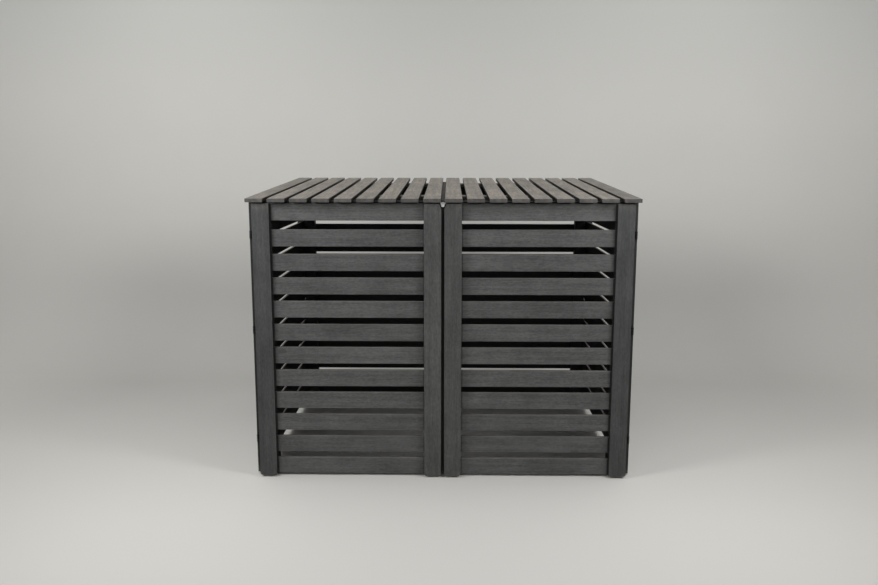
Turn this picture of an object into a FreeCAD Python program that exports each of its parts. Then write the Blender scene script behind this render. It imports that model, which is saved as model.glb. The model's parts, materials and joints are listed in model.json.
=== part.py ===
import FreeCAD, Part
import os
import re
import Sketcher

# A timber store for two wheelie bins: two slatted doors at the front, two slatted lids that
# slope down to the front, boarded sides and rear, on six posts that stand on z = 0.
# Millimetres, +Z up. The doors face -Y, x = 0 is the middle between them, and y = 0 is half
# way along the lids. The left half is modelled, and the right half is its mirror.

Vector = FreeCAD.Vector

# Each row: name, size (millimetres, or degrees for the slope, or a count), what it is.
SIZES = [
    ("store_width", "1519", "over the outer faces of the side stiles"),
    ("door_edge_inset", "18.5", "side stile's outer face to the door's outer edge"),
    ("door_gap", "12", "between the two doors"),
    ("door_foot_gap", "8", "floor to the foot of the door stiles"),
    ("door_head_gap", "5.8", "top of the doors to the lids' underside at its front"),
    ("door_stile_width", "68", "upright board of a door"),
    ("door_stile_thickness", "20", "upright board of a door, in front of its slats"),
    ("stile_cut_width", "7.5", "cut top corner of a meeting stile, across"),
    ("stile_cut_height", "20", "cut top corner of a meeting stile, down"),
    ("stile_foot_chamfer", "5", "cut corners at a door stile's foot"),
    ("slat_count", "12", "slats in a door"),
    ("slat_width", "67", "height of a door slat"),
    ("slat_thickness", "15", "door slat"),
    ("slat_lift", "2", "foot of the door stiles to the lowest slat"),
    ("slat_end_inset", "14", "meeting stile's edge to the end of the slats"),
    ("slat_gap", "26.5", "between door slats"),
    ("slat_gap_low", "24.7", "between the lowest door slats"),
    ("slat_low_gap_count", "4", "gaps between the lowest door slats"),
    ("slat_gap_second", "29.4", "under the second slat from the top"),
    ("slat_gap_first", "34.5", "under the top slat"),
    ("board_round", "2", "rounded long edges of slats, stiles, posts and battens"),
    ("lid_slope", "2.424", "degrees that the lids rise to the rear"),
    ("lid_length", "1162", "lid slat, along the slope"),
    ("lid_thickness", "15", "lid slat"),
    ("lid_slat_width", "67", "lid slat"),
    ("lid_slat_count", "9", "slats in a lid"),
    ("lid_gap", "16", "between the two lids"),
    ("lid_side_overhang", "0.5", "lid's side edge beyond the side stiles"),
    ("lid_front_overhang", "20", "lid's front edge beyond the door stiles"),
    ("lid_rear_overhang", "21", "lid's rear edge beyond the rear boards"),
    ("lid_seat_gap", "0.3", "lid's underside to the edges that it closes onto"),
    ("batten_width", "67", "cross batten under a lid"),
    ("batten_thickness", "15", "cross batten under a lid"),
    ("batten_end_inset", "35", "lid's side edge to a batten's end"),
    ("front_batten_offset", "265", "lid's front edge to the front batten"),
    ("rear_batten_offset", "163", "lid's rear edge to the rear batten"),
    ("side_post_width", "57", "corner post, across the store"),
    ("centre_post_width", "67", "centre post, across the store"),
    ("post_depth", "45", "post and front rail, front to back"),
    ("front_rail_height", "22", "rail on the front posts"),
    ("rear_rail_height", "44", "rail on the rear posts"),
    ("rear_rail_drop", "8", "lids' underside to the rear rail, above the posts' front"),
    ("centre_rail_thickness", "20", "sloping rail under the gap between the lids"),
    ("side_stile_width", "68", "upright trim outside the side boards, front to back"),
    ("side_stile_thickness", "19.5", "upright trim outside the side boards"),
    ("side_stile_foot_gap", "7", "floor to the foot of the side stiles"),
    ("side_board_count", "9", "level boards in a side"),
    ("side_board_thickness", "10", "side board"),
    ("side_board_gap", "11.8", "between side boards"),
    ("side_board_foot_gap", "35", "floor to the lowest side board"),
    ("side_top_board_height", "148", "sloping top board of a side, at its front"),
    ("rear_board_count", "7", "boards in the rear"),
    ("rear_board_thickness", "10", "rear board"),
    ("rear_board_gap", "10.6", "between rear boards"),
    ("rear_board_foot_gap", "10", "floor to the lowest rear board"),
    ("rear_top_gap", "20", "under the highest rear board"),
    ("rear_rail_gap", "1", "highest rear board to the rear rail"),
    ("thin_board_flat", "2", "flat left between the rounded edges of a side or rear board"),
    ("door_metal", "1.5", "sheet of the door hinges, the catch plate and its keepers"),
    ("door_metal_gap", "0.5", "between the sheets of a door and of the frame, closed"),
    ("door_hinge_height", "30", "door hinge, along its pin"),
    ("door_hinge_end_knuckle", "8.5", "each of a door hinge's two frame knuckles"),
    ("door_hinge_reach", "42.8", "door hinge's pin to the end of its leaves"),
    ("door_hinge_barrel", "4.5", "radius of a door hinge's knuckles"),
    ("door_hinge_pin", "1.6", "radius of a door hinge's pin"),
    ("door_hinge_edge_gap", "8.8", "door's outer edge to the hinge's knuckles"),
    ("high_hinge_rise", "45.3", "foot of its slat to the middle of the highest hinge"),
    ("middle_hinge_rise", "41.2", "foot of its slat to the middle of the middle hinge"),
    ("low_hinge_rise", "51.7", "foot of its slat to the middle of the lowest hinge"),
    ("lid_metal", "2", "sheet of the lid hinges"),
    ("lid_hinge_height", "60", "lid hinge, along its pin"),
    ("lid_hinge_end_knuckle", "17", "each of a lid hinge's two frame knuckles"),
    ("lid_hinge_reach", "55", "lid hinge's pin to the end of the leaf under the lid"),
    ("lid_hinge_rail_reach", "40", "lid hinge's pin to the end of the leaf on the rail"),
    ("lid_hinge_barrel", "4", "radius of a lid hinge's knuckles"),
    ("lid_hinge_pin", "2", "radius of a lid hinge's pin"),
    ("lid_hinge_slat", "2", "which slat a lid hinge is under, from either side of the lid"),
    ("hinge_play", "0.3", "hinge's knuckles to the wood beside them"),
    ("knuckle_gap", "0.4", "between a hinge's knuckles, and from them to the other leaf"),
    ("pin_clearance", "0.05", "hinge pin in the moving knuckle, radial"),
    ("pin_head_height", "1.2", "head of a hinge pin"),
    ("pin_head_step", "1", "head of a hinge pin beyond the pin, radial"),
    ("wood_screw_shank", "2", "radius of a wood screw"),
    ("wood_screw_head", "4", "radius of a wood screw's countersunk head"),
    ("screw_edge", "16", "board's long edge to its screws"),
    ("slat_screw_bite", "13", "slat screw's length in the door stile"),
    ("lid_screw_bite", "10", "batten screw's length in the lid slat"),
    ("side_screw_bite", "20", "side screw's length in the post"),
    ("rear_screw_bite", "30", "rear screw's length in the post"),
    ("rail_screw_bite", "40", "rail screw's length in the post"),
    ("centre_rail_screw_bite", "25", "rail screw's length in the centre rail's end"),
    ("post_screw_inset", "20", "corner post's inner face to the rear boards' screws"),
    ("rail_screw_spread", "8", "rear boards' screws to the rail screws on either side"),
    ("centre_screw_edge", "10", "centre post's side to the rail screws"),
    ("centre_rail_screw_spread", "12", "store's middle to the screws in the centre rail"),
    ("hinge_screw_shank", "1.5", "radius of a hinge screw"),
    ("hinge_screw_head", "2.8", "radius of a hinge screw's countersunk head"),
    ("hinge_screw_bite", "11", "hinge screw's length in the wood"),
    ("hinge_screw_inset", "7", "end or side of a leaf or plate to its screws"),
    ("lid_hinge_screw_pitch", "16", "between the two rows of screws in a lid hinge's leaf"),
    ("catch_width", "64", "catch plate at the top of the centre post"),
    ("catch_height", "32", "catch plate"),
    ("catch_top_gap", "1.2", "front rail's top to the catch plate"),
    ("keeper_width", "14", "keeper on the back of a top slat"),
    ("keeper_height", "28", "keeper"),
    ("keeper_inset", "3", "slat's end and top to the keeper"),
]

doc = FreeCAD.newDocument("wheelie_bin_store")
sheet = doc.addObject("Spreadsheet::Sheet", "Sizes")
for row, (alias, size, meaning) in enumerate(SIZES, start=1):
    sheet.set(f"A{row}", meaning)
    sheet.set(f"B{row}", size)
    sheet.setAlias(f"B{row}", alias)
doc.recompute()

ALIAS = re.compile(r"\b(" + "|".join(alias for alias, _, _ in SIZES) + r")\b")


def bound(text):
    """The expression with the sheet's name before each size in it."""
    return ALIAS.sub(r"Sizes.\1", text)


def number(text):
    """The value of an expression of the sheet's sizes."""
    return float(sheet.evalExpression(bound(text)))


SLAT_COUNT = int(number("slat_count"))
SLAT_LOW_GAP_COUNT = int(number("slat_low_gap_count"))
LID_SLAT_COUNT = int(number("lid_slat_count"))
SIDE_BOARD_COUNT = int(number("side_board_count"))
REAR_BOARD_COUNT = int(number("rear_board_count"))

# Places that several pieces share, as expressions of the sizes. First those along y.
LID_FRONT = "((lid_thickness*sin(lid_slope) - lid_length*cos(lid_slope))/2)"
LID_REAR = f"({LID_FRONT} + lid_length*cos(lid_slope))"
DOOR_FACE = f"({LID_FRONT} + lid_front_overhang)"
SLAT_FACE = f"({DOOR_FACE} + door_stile_thickness)"
DOOR_BACK = f"({SLAT_FACE} + slat_thickness)"
FRAME_FRONT = f"({DOOR_BACK} + 2*door_metal + door_metal_gap)"
FRONT_POSTS_REAR = f"({FRAME_FRONT} + post_depth)"
FRONT_POSTS_MIDDLE = f"({FRAME_FRONT} + post_depth/2)"
FRAME_REAR = f"({LID_REAR} - lid_rear_overhang)"
REAR_BOARDS_FRONT = f"({FRAME_REAR} - rear_board_thickness)"
REAR_POSTS_FRONT = f"({REAR_BOARDS_FRONT} - post_depth)"
REAR_POSTS_MIDDLE = f"({REAR_BOARDS_FRONT} - post_depth/2)"

# Places along x, on the left.
STORE_SIDE = "(-store_width/2)"
SIDE_BOARDS = f"({STORE_SIDE} + side_stile_thickness)"
POST_SIDE = f"({SIDE_BOARDS} + side_board_thickness)"
POST_INSIDE = f"({POST_SIDE} + side_post_width)"
DOOR_SIDE = f"({STORE_SIDE} + door_edge_inset)"
DOOR_MEETING = "(-door_gap/2)"
SLATS_MEETING = f"({DOOR_MEETING} - slat_end_inset)"
LID_SIDE = f"({STORE_SIDE} - lid_side_overhang)"
LID_MEETING = "(-lid_gap/2)"
LID_SLAT_PITCH = f"(({LID_MEETING} - {LID_SIDE} - lid_slat_width)/{LID_SLAT_COUNT - 1})"


def slat_foot(place):
    """Height of a door slat's foot, where place 1 is the highest slat."""
    below = SLAT_COUNT - place
    low_gaps = min(below, SLAT_LOW_GAP_COUNT)
    gaps = min(below, SLAT_COUNT - 3) - low_gaps
    text = f"door_foot_gap + slat_lift + {below}*slat_width + {low_gaps}*slat_gap_low"
    text += f" + {gaps}*slat_gap"
    if place <= 2:
        text += " + slat_gap_second"
    if place == 1:
        text += " + slat_gap_first"
    return f"({text})"


# Places along z.
DOOR_TOP = f"({slat_foot(1)} + slat_width)"
LID_LOW = f"({DOOR_TOP} + door_head_gap)"


def underside(depth):
    """Height of the closed lids' underside at a place along y."""
    return f"({LID_LOW} + ({depth} - {LID_FRONT})*tan(lid_slope))"


def lid_seat(depth):
    """Height of the edges that the closed lids lie on, at a place along y."""
    return f"({underside(depth)} - lid_seat_gap)"


FRONT_RAIL_TOP = lid_seat(FRAME_FRONT)
FRONT_RAIL_FOOT = f"({FRONT_RAIL_TOP} - front_rail_height)"
REAR_RAIL_TOP = f"({underside(REAR_POSTS_FRONT)} - rear_rail_drop)"
REAR_RAIL_FOOT = f"({REAR_RAIL_TOP} - rear_rail_height)"


def centre_rail_foot(depth):
    """Height of the centre rail's underside at a place along y."""
    return f"({lid_seat(depth)} - centre_rail_thickness/cos(lid_slope))"


SIDE_BOARD_WIDTH = (
    f"(({FRONT_RAIL_TOP} - side_top_board_height - side_board_foot_gap"
    f" - {SIDE_BOARD_COUNT}*side_board_gap)/{SIDE_BOARD_COUNT})"
)
REAR_BOARD_WIDTH = (
    f"(({REAR_RAIL_FOOT} - rear_rail_gap - rear_board_foot_gap - rear_top_gap"
    f" - {REAR_BOARD_COUNT - 2}*rear_board_gap)/{REAR_BOARD_COUNT})"
)


def side_board_foot(place):
    """Height of a side board's foot, where place 0 is the lowest board."""
    return f"(side_board_foot_gap + {place}*({SIDE_BOARD_WIDTH} + side_board_gap))"


def rear_board_foot(place):
    """Height of a rear board's foot, where place 0 is the lowest board."""
    text = f"rear_board_foot_gap + {place}*({REAR_BOARD_WIDTH} + rear_board_gap)"
    if place == REAR_BOARD_COUNT - 1:
        text += " + rear_top_gap - rear_board_gap"
    return f"({text})"


# Hinge pins: where the doors' stand, and where the lids' lie, also in the lids' own frame.
DOOR_PIN_X = f"({DOOR_SIDE} - door_hinge_edge_gap - door_hinge_barrel)"
DOOR_PIN_Y = f"({FRAME_FRONT} - door_hinge_barrel - hinge_play)"
LID_PIN_DROP = "(lid_hinge_barrel + hinge_play)"
LID_PIN_Y = f"({FRAME_REAR} + {LID_PIN_DROP})"
LID_PIN_ALONG = f"(({LID_PIN_Y} - {LID_FRONT} - {LID_PIN_DROP}*sin(lid_slope))/cos(lid_slope))"
LID_PIN_Z = f"({LID_LOW} + {LID_PIN_ALONG}*sin(lid_slope) - {LID_PIN_DROP}*cos(lid_slope))"

X, Y, Z = Vector(1, 0, 0), Vector(0, 1, 0), Vector(0, 0, 1)
sub_parts = []


def move(item, at, turn=None):
    """Place an object: at holds x, y and z expressions, and turn is a fixed rotation."""
    if turn:
        item.Placement = FreeCAD.Placement(Vector(), turn)
    for axis, text in zip("xyz", at):
        item.setExpression(f"Placement.Base.{axis}", bound(text))
    return item


def sub_part(node, item):
    """Name the finished object of a sub-part, which its file is written from."""
    item.Label = node
    sub_parts.append(item)
    return item


def long_edges(shape, axis):
    """Names of a shape's straight edges that run along one axis."""
    names = []
    for place, edge in enumerate(shape.Edges, start=1):
        run = edge.Vertexes[-1].Point - edge.Vertexes[0].Point
        if run.Length > 1e-6 and abs(run.normalize().dot(axis)) > 1 - 1e-6:
            names.append(f"Edge{place}")
    return names


def board(name, sizes, at, grain, rounding="board_round"):
    """A sawn board with its long edges rounded; grain is the axis that it runs along."""
    body = doc.addObject("PartDesign::Body", name)
    block = body.newObject("PartDesign::AdditiveBox", f"{name}_block")
    for attribute, text in zip(("Length", "Width", "Height"), sizes):
        block.setExpression(attribute, bound(text))
    block.recompute()
    rounded = body.newObject("PartDesign::Fillet", f"{name}_rounding")
    rounded.Base = (block, long_edges(block.Shape, grain))
    rounded.setExpression("Radius", bound(rounding))
    return move(body, at)


def outline_board(name, role, outline, thickness, at=("0", "0", "0"), grain=None):
    """A board cut to an outline, drawn as pairs of expressions on one of the body's planes."""
    body = doc.addObject("PartDesign::Body", name)
    sketch = body.newObject("Sketcher::SketchObject", f"{name}_outline")
    plane = next(item for item in body.Origin.OriginFeatures if item.Role == role)
    sketch.AttachmentSupport = [(plane, "")]
    sketch.MapMode = "FlatFace"
    corners = [Vector(number(across), number(up), 0) for across, up in outline]
    count = len(corners)
    for place, corner in enumerate(corners):
        sketch.addGeometry(Part.LineSegment(corner, corners[(place + 1) % count]), False)
    for place, (across, up) in enumerate(outline):
        sketch.addConstraint(
            Sketcher.Constraint("Coincident", place, 2, (place + 1) % count, 1)
        )
        for kind, text in (("DistanceX", across), ("DistanceY", up)):
            limit = Sketcher.Constraint(kind, -1, 1, place, 1, number(text))
            index = sketch.addConstraint(limit)
            sketch.setExpression(f"Constraints[{index}]", bound(text))
    pad = body.newObject("PartDesign::Pad", f"{name}_pad")
    pad.Profile = sketch
    pad.setExpression("Length", bound(thickness))
    if grain:
        doc.recompute()
        rounded = body.newObject("PartDesign::Fillet", f"{name}_rounding")
        rounded.Base = (pad, long_edges(pad.Shape, grain))
        rounded.setExpression("Radius", bound("board_round"))
    return move(body, at)


def box(name, sizes, at):
    """A plain block, from its sizes and low corner."""
    item = doc.addObject("Part::Box", name)
    for attribute, text in zip(("Length", "Width", "Height"), sizes):
        item.setExpression(attribute, bound(text))
    return move(item, at)


def cylinder(name, radius, height, foot):
    """A plain cylinder on the z axis that starts at the height foot."""
    item = doc.addObject("Part::Cylinder", name)
    item.setExpression("Radius", bound(radius))
    item.setExpression("Height", bound(height))
    return move(item, ("0", "0", foot))


def joined(name, pieces):
    """Several shapes made one."""
    item = doc.addObject("Part::MultiFuse", name)
    item.Shapes = pieces
    item.Refine = True
    return item


def group(name, pieces):
    """Several pieces kept apart in one object."""
    item = doc.addObject("Part::Compound", name)
    item.Links = pieces
    return item


def drilled(name, timber, tools):
    """A piece with holes where its screws or pins go."""
    item = doc.addObject("Part::Cut", name)
    item.Base = timber
    item.Tool = tools[0] if len(tools) == 1 else group(f"{name}_tools", tools)
    return item


def mirrored(name, source):
    """The right-hand copy of a left-hand piece."""
    item = doc.addObject("Part::Mirroring", name)
    item.Source = source
    item.Base = Vector(0, 0, 0)
    item.Normal = X
    return item


def tilted(name, item):
    """A piece made in the lid's own frame, laid on the closed lid's slope."""
    held = group(name, [item])
    held.Placement = FreeCAD.Placement(Vector(), FreeCAD.Rotation(X, 1))
    held.setExpression("Placement.Rotation.Angle", bound("lid_slope"))
    return move(held, ("0", LID_FRONT, LID_LOW))


def screws(name, kind, length, direction, places):
    """Countersunk screws of one kind and length, whose heads lie flush at the given places."""
    shank = number(f"{kind}_screw_shank")
    head = number(f"{kind}_screw_head")
    sink = head - shank
    cone = Part.makeCone(head, shank, sink)
    stem = Part.makeCylinder(shank, number(length) - sink, Vector(0, 0, sink))
    screw = cone.fuse(stem).removeSplitter()
    turn = FreeCAD.Rotation(Z, direction)
    solids = []
    for place in places:
        solid = screw.copy()
        solid.Placement = FreeCAD.Placement(Vector(*[number(text) for text in place]), turn)
        solids.append(solid)
    item = doc.addObject("Part::Feature", name)
    item.Shape = Part.makeCompound(solids)
    return item


def inset_pair(foot, width, inset="screw_edge"):
    """The two places at an inset from a board's long edges."""
    return (f"({foot} + {inset})", f"({foot} + {width} - {inset})")


# Screws of the left half, by what they hold. Those of the boards go through the side stiles.
side_screw_heights = [
    height
    for place in range(SIDE_BOARD_COUNT)
    for height in inset_pair(side_board_foot(place), SIDE_BOARD_WIDTH)
]
side_screw_heights.append(f"({side_board_foot(SIDE_BOARD_COUNT)} + screw_edge)")
side_screw_heights.append(f"({FRONT_RAIL_FOOT} - screw_edge)")
left_side_screws = screws(
    "left_side_screws", "wood", "side_stile_thickness + side_board_thickness + side_screw_bite", X,
    [(STORE_SIDE, depth, height)
     for depth in (FRONT_POSTS_MIDDLE, REAR_POSTS_MIDDLE) for height in side_screw_heights],
)
rear_screw_heights = [
    height
    for place in range(REAR_BOARD_COUNT)
    for height in inset_pair(rear_board_foot(place), REAR_BOARD_WIDTH)
]
LEFT_REAR_SCREWS = f"({POST_INSIDE} - post_screw_inset)"
left_rear_screws = screws(
    "left_rear_screws", "wood", "rear_board_thickness + rear_screw_bite", -Y,
    [(LEFT_REAR_SCREWS, FRAME_REAR, height) for height in rear_screw_heights],
)
centre_rear_screws = screws(
    "centre_rear_screws", "wood", "rear_board_thickness + rear_screw_bite", -Y,
    [("0", FRAME_REAR, height) for height in rear_screw_heights],
)
corner_rail_screw_places = [
    f"({LEFT_REAR_SCREWS} - rail_screw_spread)",
    f"({LEFT_REAR_SCREWS} + rail_screw_spread)",
]
CENTRE_RAIL_SCREWS = "(centre_post_width/2 - centre_screw_edge)"
rail_screws = {}
for rail, depth, top, height in (
    ("front", FRONT_POSTS_MIDDLE, FRONT_RAIL_TOP, "front_rail_height"),
    ("rear", REAR_POSTS_MIDDLE, REAR_RAIL_TOP, "rear_rail_height"),
):
    length = f"{height} + rail_screw_bite"
    rail_screws[rail, "left"] = screws(
        f"left_{rail}_rail_screws", "wood", length, -Z,
        [(across, depth, top) for across in corner_rail_screw_places],
    )
    rail_screws[rail, "centre"] = screws(
        f"centre_{rail}_rail_screws", "wood", length, -Z,
        [(f"-{CENTRE_RAIL_SCREWS}", depth, top), (CENTRE_RAIL_SCREWS, depth, top)],
    )
FRONT_END_MIDDLE = f"(({centre_rail_foot(FRONT_POSTS_REAR)} + {FRONT_RAIL_TOP})/2)"
REAR_END_MIDDLE = f"(({centre_rail_foot(REAR_POSTS_FRONT)} + {REAR_RAIL_TOP})/2)"
front_end_screws = screws(
    "centre_rail_front_screws", "wood", "post_depth + centre_rail_screw_bite", Y,
    [(f"{sign}centre_rail_screw_spread", FRAME_FRONT, FRONT_END_MIDDLE) for sign in ("-", "")],
)
rear_end_screws = screws(
    "centre_rail_rear_screws", "wood",
    "post_depth + rear_board_thickness + centre_rail_screw_bite", -Y,
    [(f"{sign}centre_rail_screw_spread", FRAME_REAR, REAR_END_MIDDLE) for sign in ("-", "")],
)

# The catch plate on the front of the centre post and rail, and its screws.
CATCH_TOP = f"({FRONT_RAIL_TOP} - catch_top_gap)"
CATCH_FOOT = f"({CATCH_TOP} - catch_height)"
catch_sheet = box(
    "catch_sheet", ("catch_width", "door_metal", "catch_height"),
    ("-catch_width/2", f"{FRAME_FRONT} - door_metal", CATCH_FOOT),
)
catch_screws = screws(
    "catch_screws", "hinge", "door_metal + hinge_screw_bite", Y,
    [(across, f"{FRAME_FRONT} - door_metal", height)
     for across in inset_pair("-catch_width/2", "catch_width", "hinge_screw_inset")
     for height in inset_pair(CATCH_FOOT, "catch_height", "hinge_screw_inset")],
)
sub_part("catch_plate", drilled("catch_plate", catch_sheet, [catch_screws]))

# Door hinges. Each stands beside one slat, and its two leaves fold flat behind the door.
DOOR_HINGE_SLATS = {
    "high": (2, "high_hinge_rise"),
    "middle": (SLAT_COUNT // 2, "middle_hinge_rise"),
    "low": (SLAT_COUNT - 1, "low_hinge_rise"),
}
door_hinge_middles = {
    name: f"({slat_foot(place)} + {rise})" for name, (place, rise) in DOOR_HINGE_SLATS.items()
}
DOOR_LEAF_SCREWS = f"({DOOR_PIN_X} + door_hinge_reach - hinge_screw_inset)"
DOOR_LEAF_SCREW_RISE = "(door_hinge_height/2 - hinge_screw_inset)"
door_leaf_screw_heights = [
    f"({middle} {sign} {DOOR_LEAF_SCREW_RISE})"
    for middle in door_hinge_middles.values() for sign in "-+"
]
left_frame_hinge_screws = screws(
    "left_frame_hinge_screws", "hinge", "door_metal + hinge_screw_bite", Y,
    [(DOOR_LEAF_SCREWS, f"{FRAME_FRONT} - door_metal", height)
     for height in door_leaf_screw_heights],
)
left_door_hinge_screws = screws(
    "left_door_hinge_screws", "hinge", "door_metal + hinge_screw_bite", -Y,
    [(DOOR_LEAF_SCREWS, f"{DOOR_BACK} + door_metal", height)
     for height in door_leaf_screw_heights],
)


def hinge_leaf(name, kind, metal, sheet_at, reach, knuckles, bore):
    """A hinge leaf: its pin is the z axis, and its sheet runs along y at x = sheet_at.

    knuckles holds the foot and the height of each knuckle that the leaf carries.
    """
    barrel = f"{kind}_hinge_barrel"
    start = f"({barrel} + knuckle_gap)"
    height = f"{kind}_hinge_height"
    pieces = [
        box(f"{name}_sheet", (metal, f"{reach} - {start}", height),
            (sheet_at, start, f"-{height}/2"))
    ]
    for place, (foot, length) in enumerate(knuckles, start=1):
        pieces.append(
            box(f"{name}_web_{place}", (metal, start, length), (sheet_at, "0", foot)))
        pieces.append(cylinder(f"{name}_knuckle_{place}", barrel, length, foot))
    hole = cylinder(f"{name}_bore", bore, height, f"-{height}/2")
    return drilled(name, joined(f"{name}_solid", pieces), [hole])


def end_knuckles(kind):
    """Foot and height of the two frame knuckles of a hinge."""
    height, end = f"{kind}_hinge_height", f"{kind}_hinge_end_knuckle"
    return [(f"-{height}/2", end), (f"{height}/2 - {end}", end)]


def middle_knuckle(kind):
    """Foot and height of the moving knuckle of a hinge."""
    height, end = f"{kind}_hinge_height", f"{kind}_hinge_end_knuckle"
    return [(f"{end} + knuckle_gap - {height}/2", f"{height} - 2*({end} + knuckle_gap)")]


def hinge_pin(name, kind):
    """A hinge pin with a head at its top."""
    height, radius = f"{kind}_hinge_height", f"{kind}_hinge_pin"
    stem = cylinder(f"{name}_stem", radius, height, f"-{height}/2")
    head = cylinder(f"{name}_head", f"{radius} + pin_head_step", "pin_head_height", f"{height}/2")
    return joined(name, [stem, head])


DOOR_LEAF_TURN = FreeCAD.Rotation(Y, X, -Z, "XYZ")
FRAME_SHEET = "(door_hinge_barrel + hinge_play - door_metal)"
DOOR_SHEET = "(door_hinge_barrel + hinge_play - 2*door_metal - door_metal_gap)"
left_frame_leaves = []
left_door_leaves = []
left_pins = []
for name, middle in door_hinge_middles.items():
    spot = (DOOR_PIN_X, DOOR_PIN_Y, middle)
    frame_leaf = hinge_leaf(
        f"left_{name}_frame_leaf", "door", "door_metal", FRAME_SHEET, "door_hinge_reach",
        end_knuckles("door"), "door_hinge_pin",
    )
    door_leaf = hinge_leaf(
        f"left_{name}_door_leaf", "door", "door_metal", DOOR_SHEET, "door_hinge_reach",
        middle_knuckle("door"), "door_hinge_pin + pin_clearance",
    )
    left_frame_leaves.append(move(frame_leaf, spot, DOOR_LEAF_TURN))
    left_door_leaves.append(move(door_leaf, spot, DOOR_LEAF_TURN))
    left_pins.append(move(hinge_pin(f"left_{name}_pin", "door"), spot))

# Lid hinges, one leaf under a slat of the lid and the other on the rear rail.
lid_slat_lows = [f"({LID_SIDE} + {place}*{LID_SLAT_PITCH})" for place in range(LID_SLAT_COUNT)]
lid_hinge_middles = [
    f"({LID_SIDE} + lid_slat_width/2 + (lid_hinge_slat - 1)*{LID_SLAT_PITCH})",
    f"({LID_MEETING} - lid_slat_width/2 - (lid_hinge_slat - 1)*{LID_SLAT_PITCH})",
]
LID_LEAF_TURN = FreeCAD.Rotation(Z, -Y, X, "XYZ")
RAIL_LEAF_TURN = FreeCAD.Rotation(-Y, -Z, X, "XYZ")
PIN_TURN = FreeCAD.Rotation(Z, X)
LID_SHEET = f"({LID_PIN_DROP} - lid_metal)"
left_lid_leaves = []
for place, middle in enumerate(lid_hinge_middles, start=1):
    rail_leaf = hinge_leaf(
        f"left_rail_leaf_{place}", "lid", "lid_metal", LID_SHEET, "lid_hinge_rail_reach",
        end_knuckles("lid"), "lid_hinge_pin",
    )
    lid_leaf = hinge_leaf(
        f"left_lid_leaf_{place}", "lid", "lid_metal", LID_SHEET, "lid_hinge_reach",
        middle_knuckle("lid"), "lid_hinge_pin + pin_clearance",
    )
    left_frame_leaves.append(move(rail_leaf, (middle, LID_PIN_Y, LID_PIN_Z), RAIL_LEAF_TURN))
    left_lid_leaves.append(
        move(lid_leaf, (middle, LID_PIN_ALONG, f"-{LID_PIN_DROP}"), LID_LEAF_TURN))
    pin = hinge_pin(f"left_lid_pin_{place}", "lid")
    left_pins.append(move(pin, (middle, LID_PIN_Y, LID_PIN_Z), PIN_TURN))


def leaf_rows(end, sign):
    """The two rows of screws near a lid hinge leaf's end, back towards its pin."""
    first = f"({end} {sign} hinge_screw_inset)"
    return (first, f"({first} {sign} lid_hinge_screw_pitch)")


LID_LEAF_SCREW_SPREAD = "(lid_hinge_height/2 - hinge_screw_inset)"
lid_leaf_screw_places = [
    f"({middle} {sign} {LID_LEAF_SCREW_SPREAD})" for middle in lid_hinge_middles for sign in "-+"
]
left_rail_hinge_screws = screws(
    "left_rail_hinge_screws", "hinge", "lid_metal + hinge_screw_bite", -Y,
    [(across, f"{FRAME_REAR} + lid_metal", height)
     for across in lid_leaf_screw_places
     for height in leaf_rows(f"({LID_PIN_Z} - lid_hinge_rail_reach)", "+")],
)
left_lid_hinge_screws = screws(
    "left_lid_hinge_screws", "hinge", "lid_metal + hinge_screw_bite", Z,
    [(across, along, "-lid_metal")
     for across in lid_leaf_screw_places
     for along in leaf_rows(f"({LID_PIN_ALONG} - lid_hinge_reach)", "+")],
)

# Frame metal: all its hinge leaves, pins and screws, left, right and middle.
frame_hinge_screws = [left_frame_hinge_screws, left_rail_hinge_screws]
left_leaf_set = drilled(
    "left_leaf_set", group("left_leaf_blanks", left_frame_leaves), frame_hinge_screws)
sub_part(
    "frame_hinge_leaves",
    group("frame_hinge_leaves", [left_leaf_set, mirrored("right_leaf_set", left_leaf_set)]),
)
left_pin_set = group("left_pin_set", left_pins)
sub_part("hinge_pins", group("hinge_pins", [left_pin_set, mirrored("right_pin_set", left_pin_set)]))
left_screw_set = group(
    "left_screw_set",
    [left_side_screws, left_rear_screws, rail_screws["front", "left"],
     rail_screws["rear", "left"]] + frame_hinge_screws,
)
right_screw_set = mirrored("right_screw_set", left_screw_set)
centre_screw_set = group(
    "centre_screw_set",
    [centre_rear_screws, rail_screws["front", "centre"], rail_screws["rear", "centre"],
     front_end_screws, rear_end_screws, catch_screws],
)
sub_part("frame_screws", group("frame_screws", [left_screw_set, right_screw_set, centre_screw_set]))


def corner_post(name, depth_low, foot_to_top, tools):
    """A left corner post and its mirror."""
    timber = board(
        f"{name}_timber", ("side_post_width", "post_depth", foot_to_top),
        (POST_SIDE, depth_low, "0"), Z,
    )
    left = sub_part(f"left_{name}", drilled(f"left_{name}", timber, tools))
    sub_part(f"right_{name}", mirrored(f"right_{name}", left))


corner_post(
    "front_post", FRAME_FRONT, FRONT_RAIL_FOOT,
    [left_side_screws, rail_screws["front", "left"], left_frame_hinge_screws],
)
corner_post(
    "rear_post", REAR_POSTS_FRONT, REAR_RAIL_FOOT,
    [left_side_screws, left_rear_screws, rail_screws["rear", "left"]],
)


def centre_post(name, depth_low, foot_to_top, tools):
    """A post in the middle of the store, between the two bins."""
    timber = board(
        f"{name}_timber", ("centre_post_width", "post_depth", foot_to_top),
        ("-centre_post_width/2", depth_low, "0"), Z,
    )
    sub_part(name, drilled(name, timber, tools))


centre_post("centre_front_post", FRAME_FRONT, FRONT_RAIL_FOOT,
            [rail_screws["front", "centre"], catch_screws])
centre_post("centre_rear_post", REAR_POSTS_FRONT, REAR_RAIL_FOOT,
            [rail_screws["rear", "centre"], centre_rear_screws])


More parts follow.
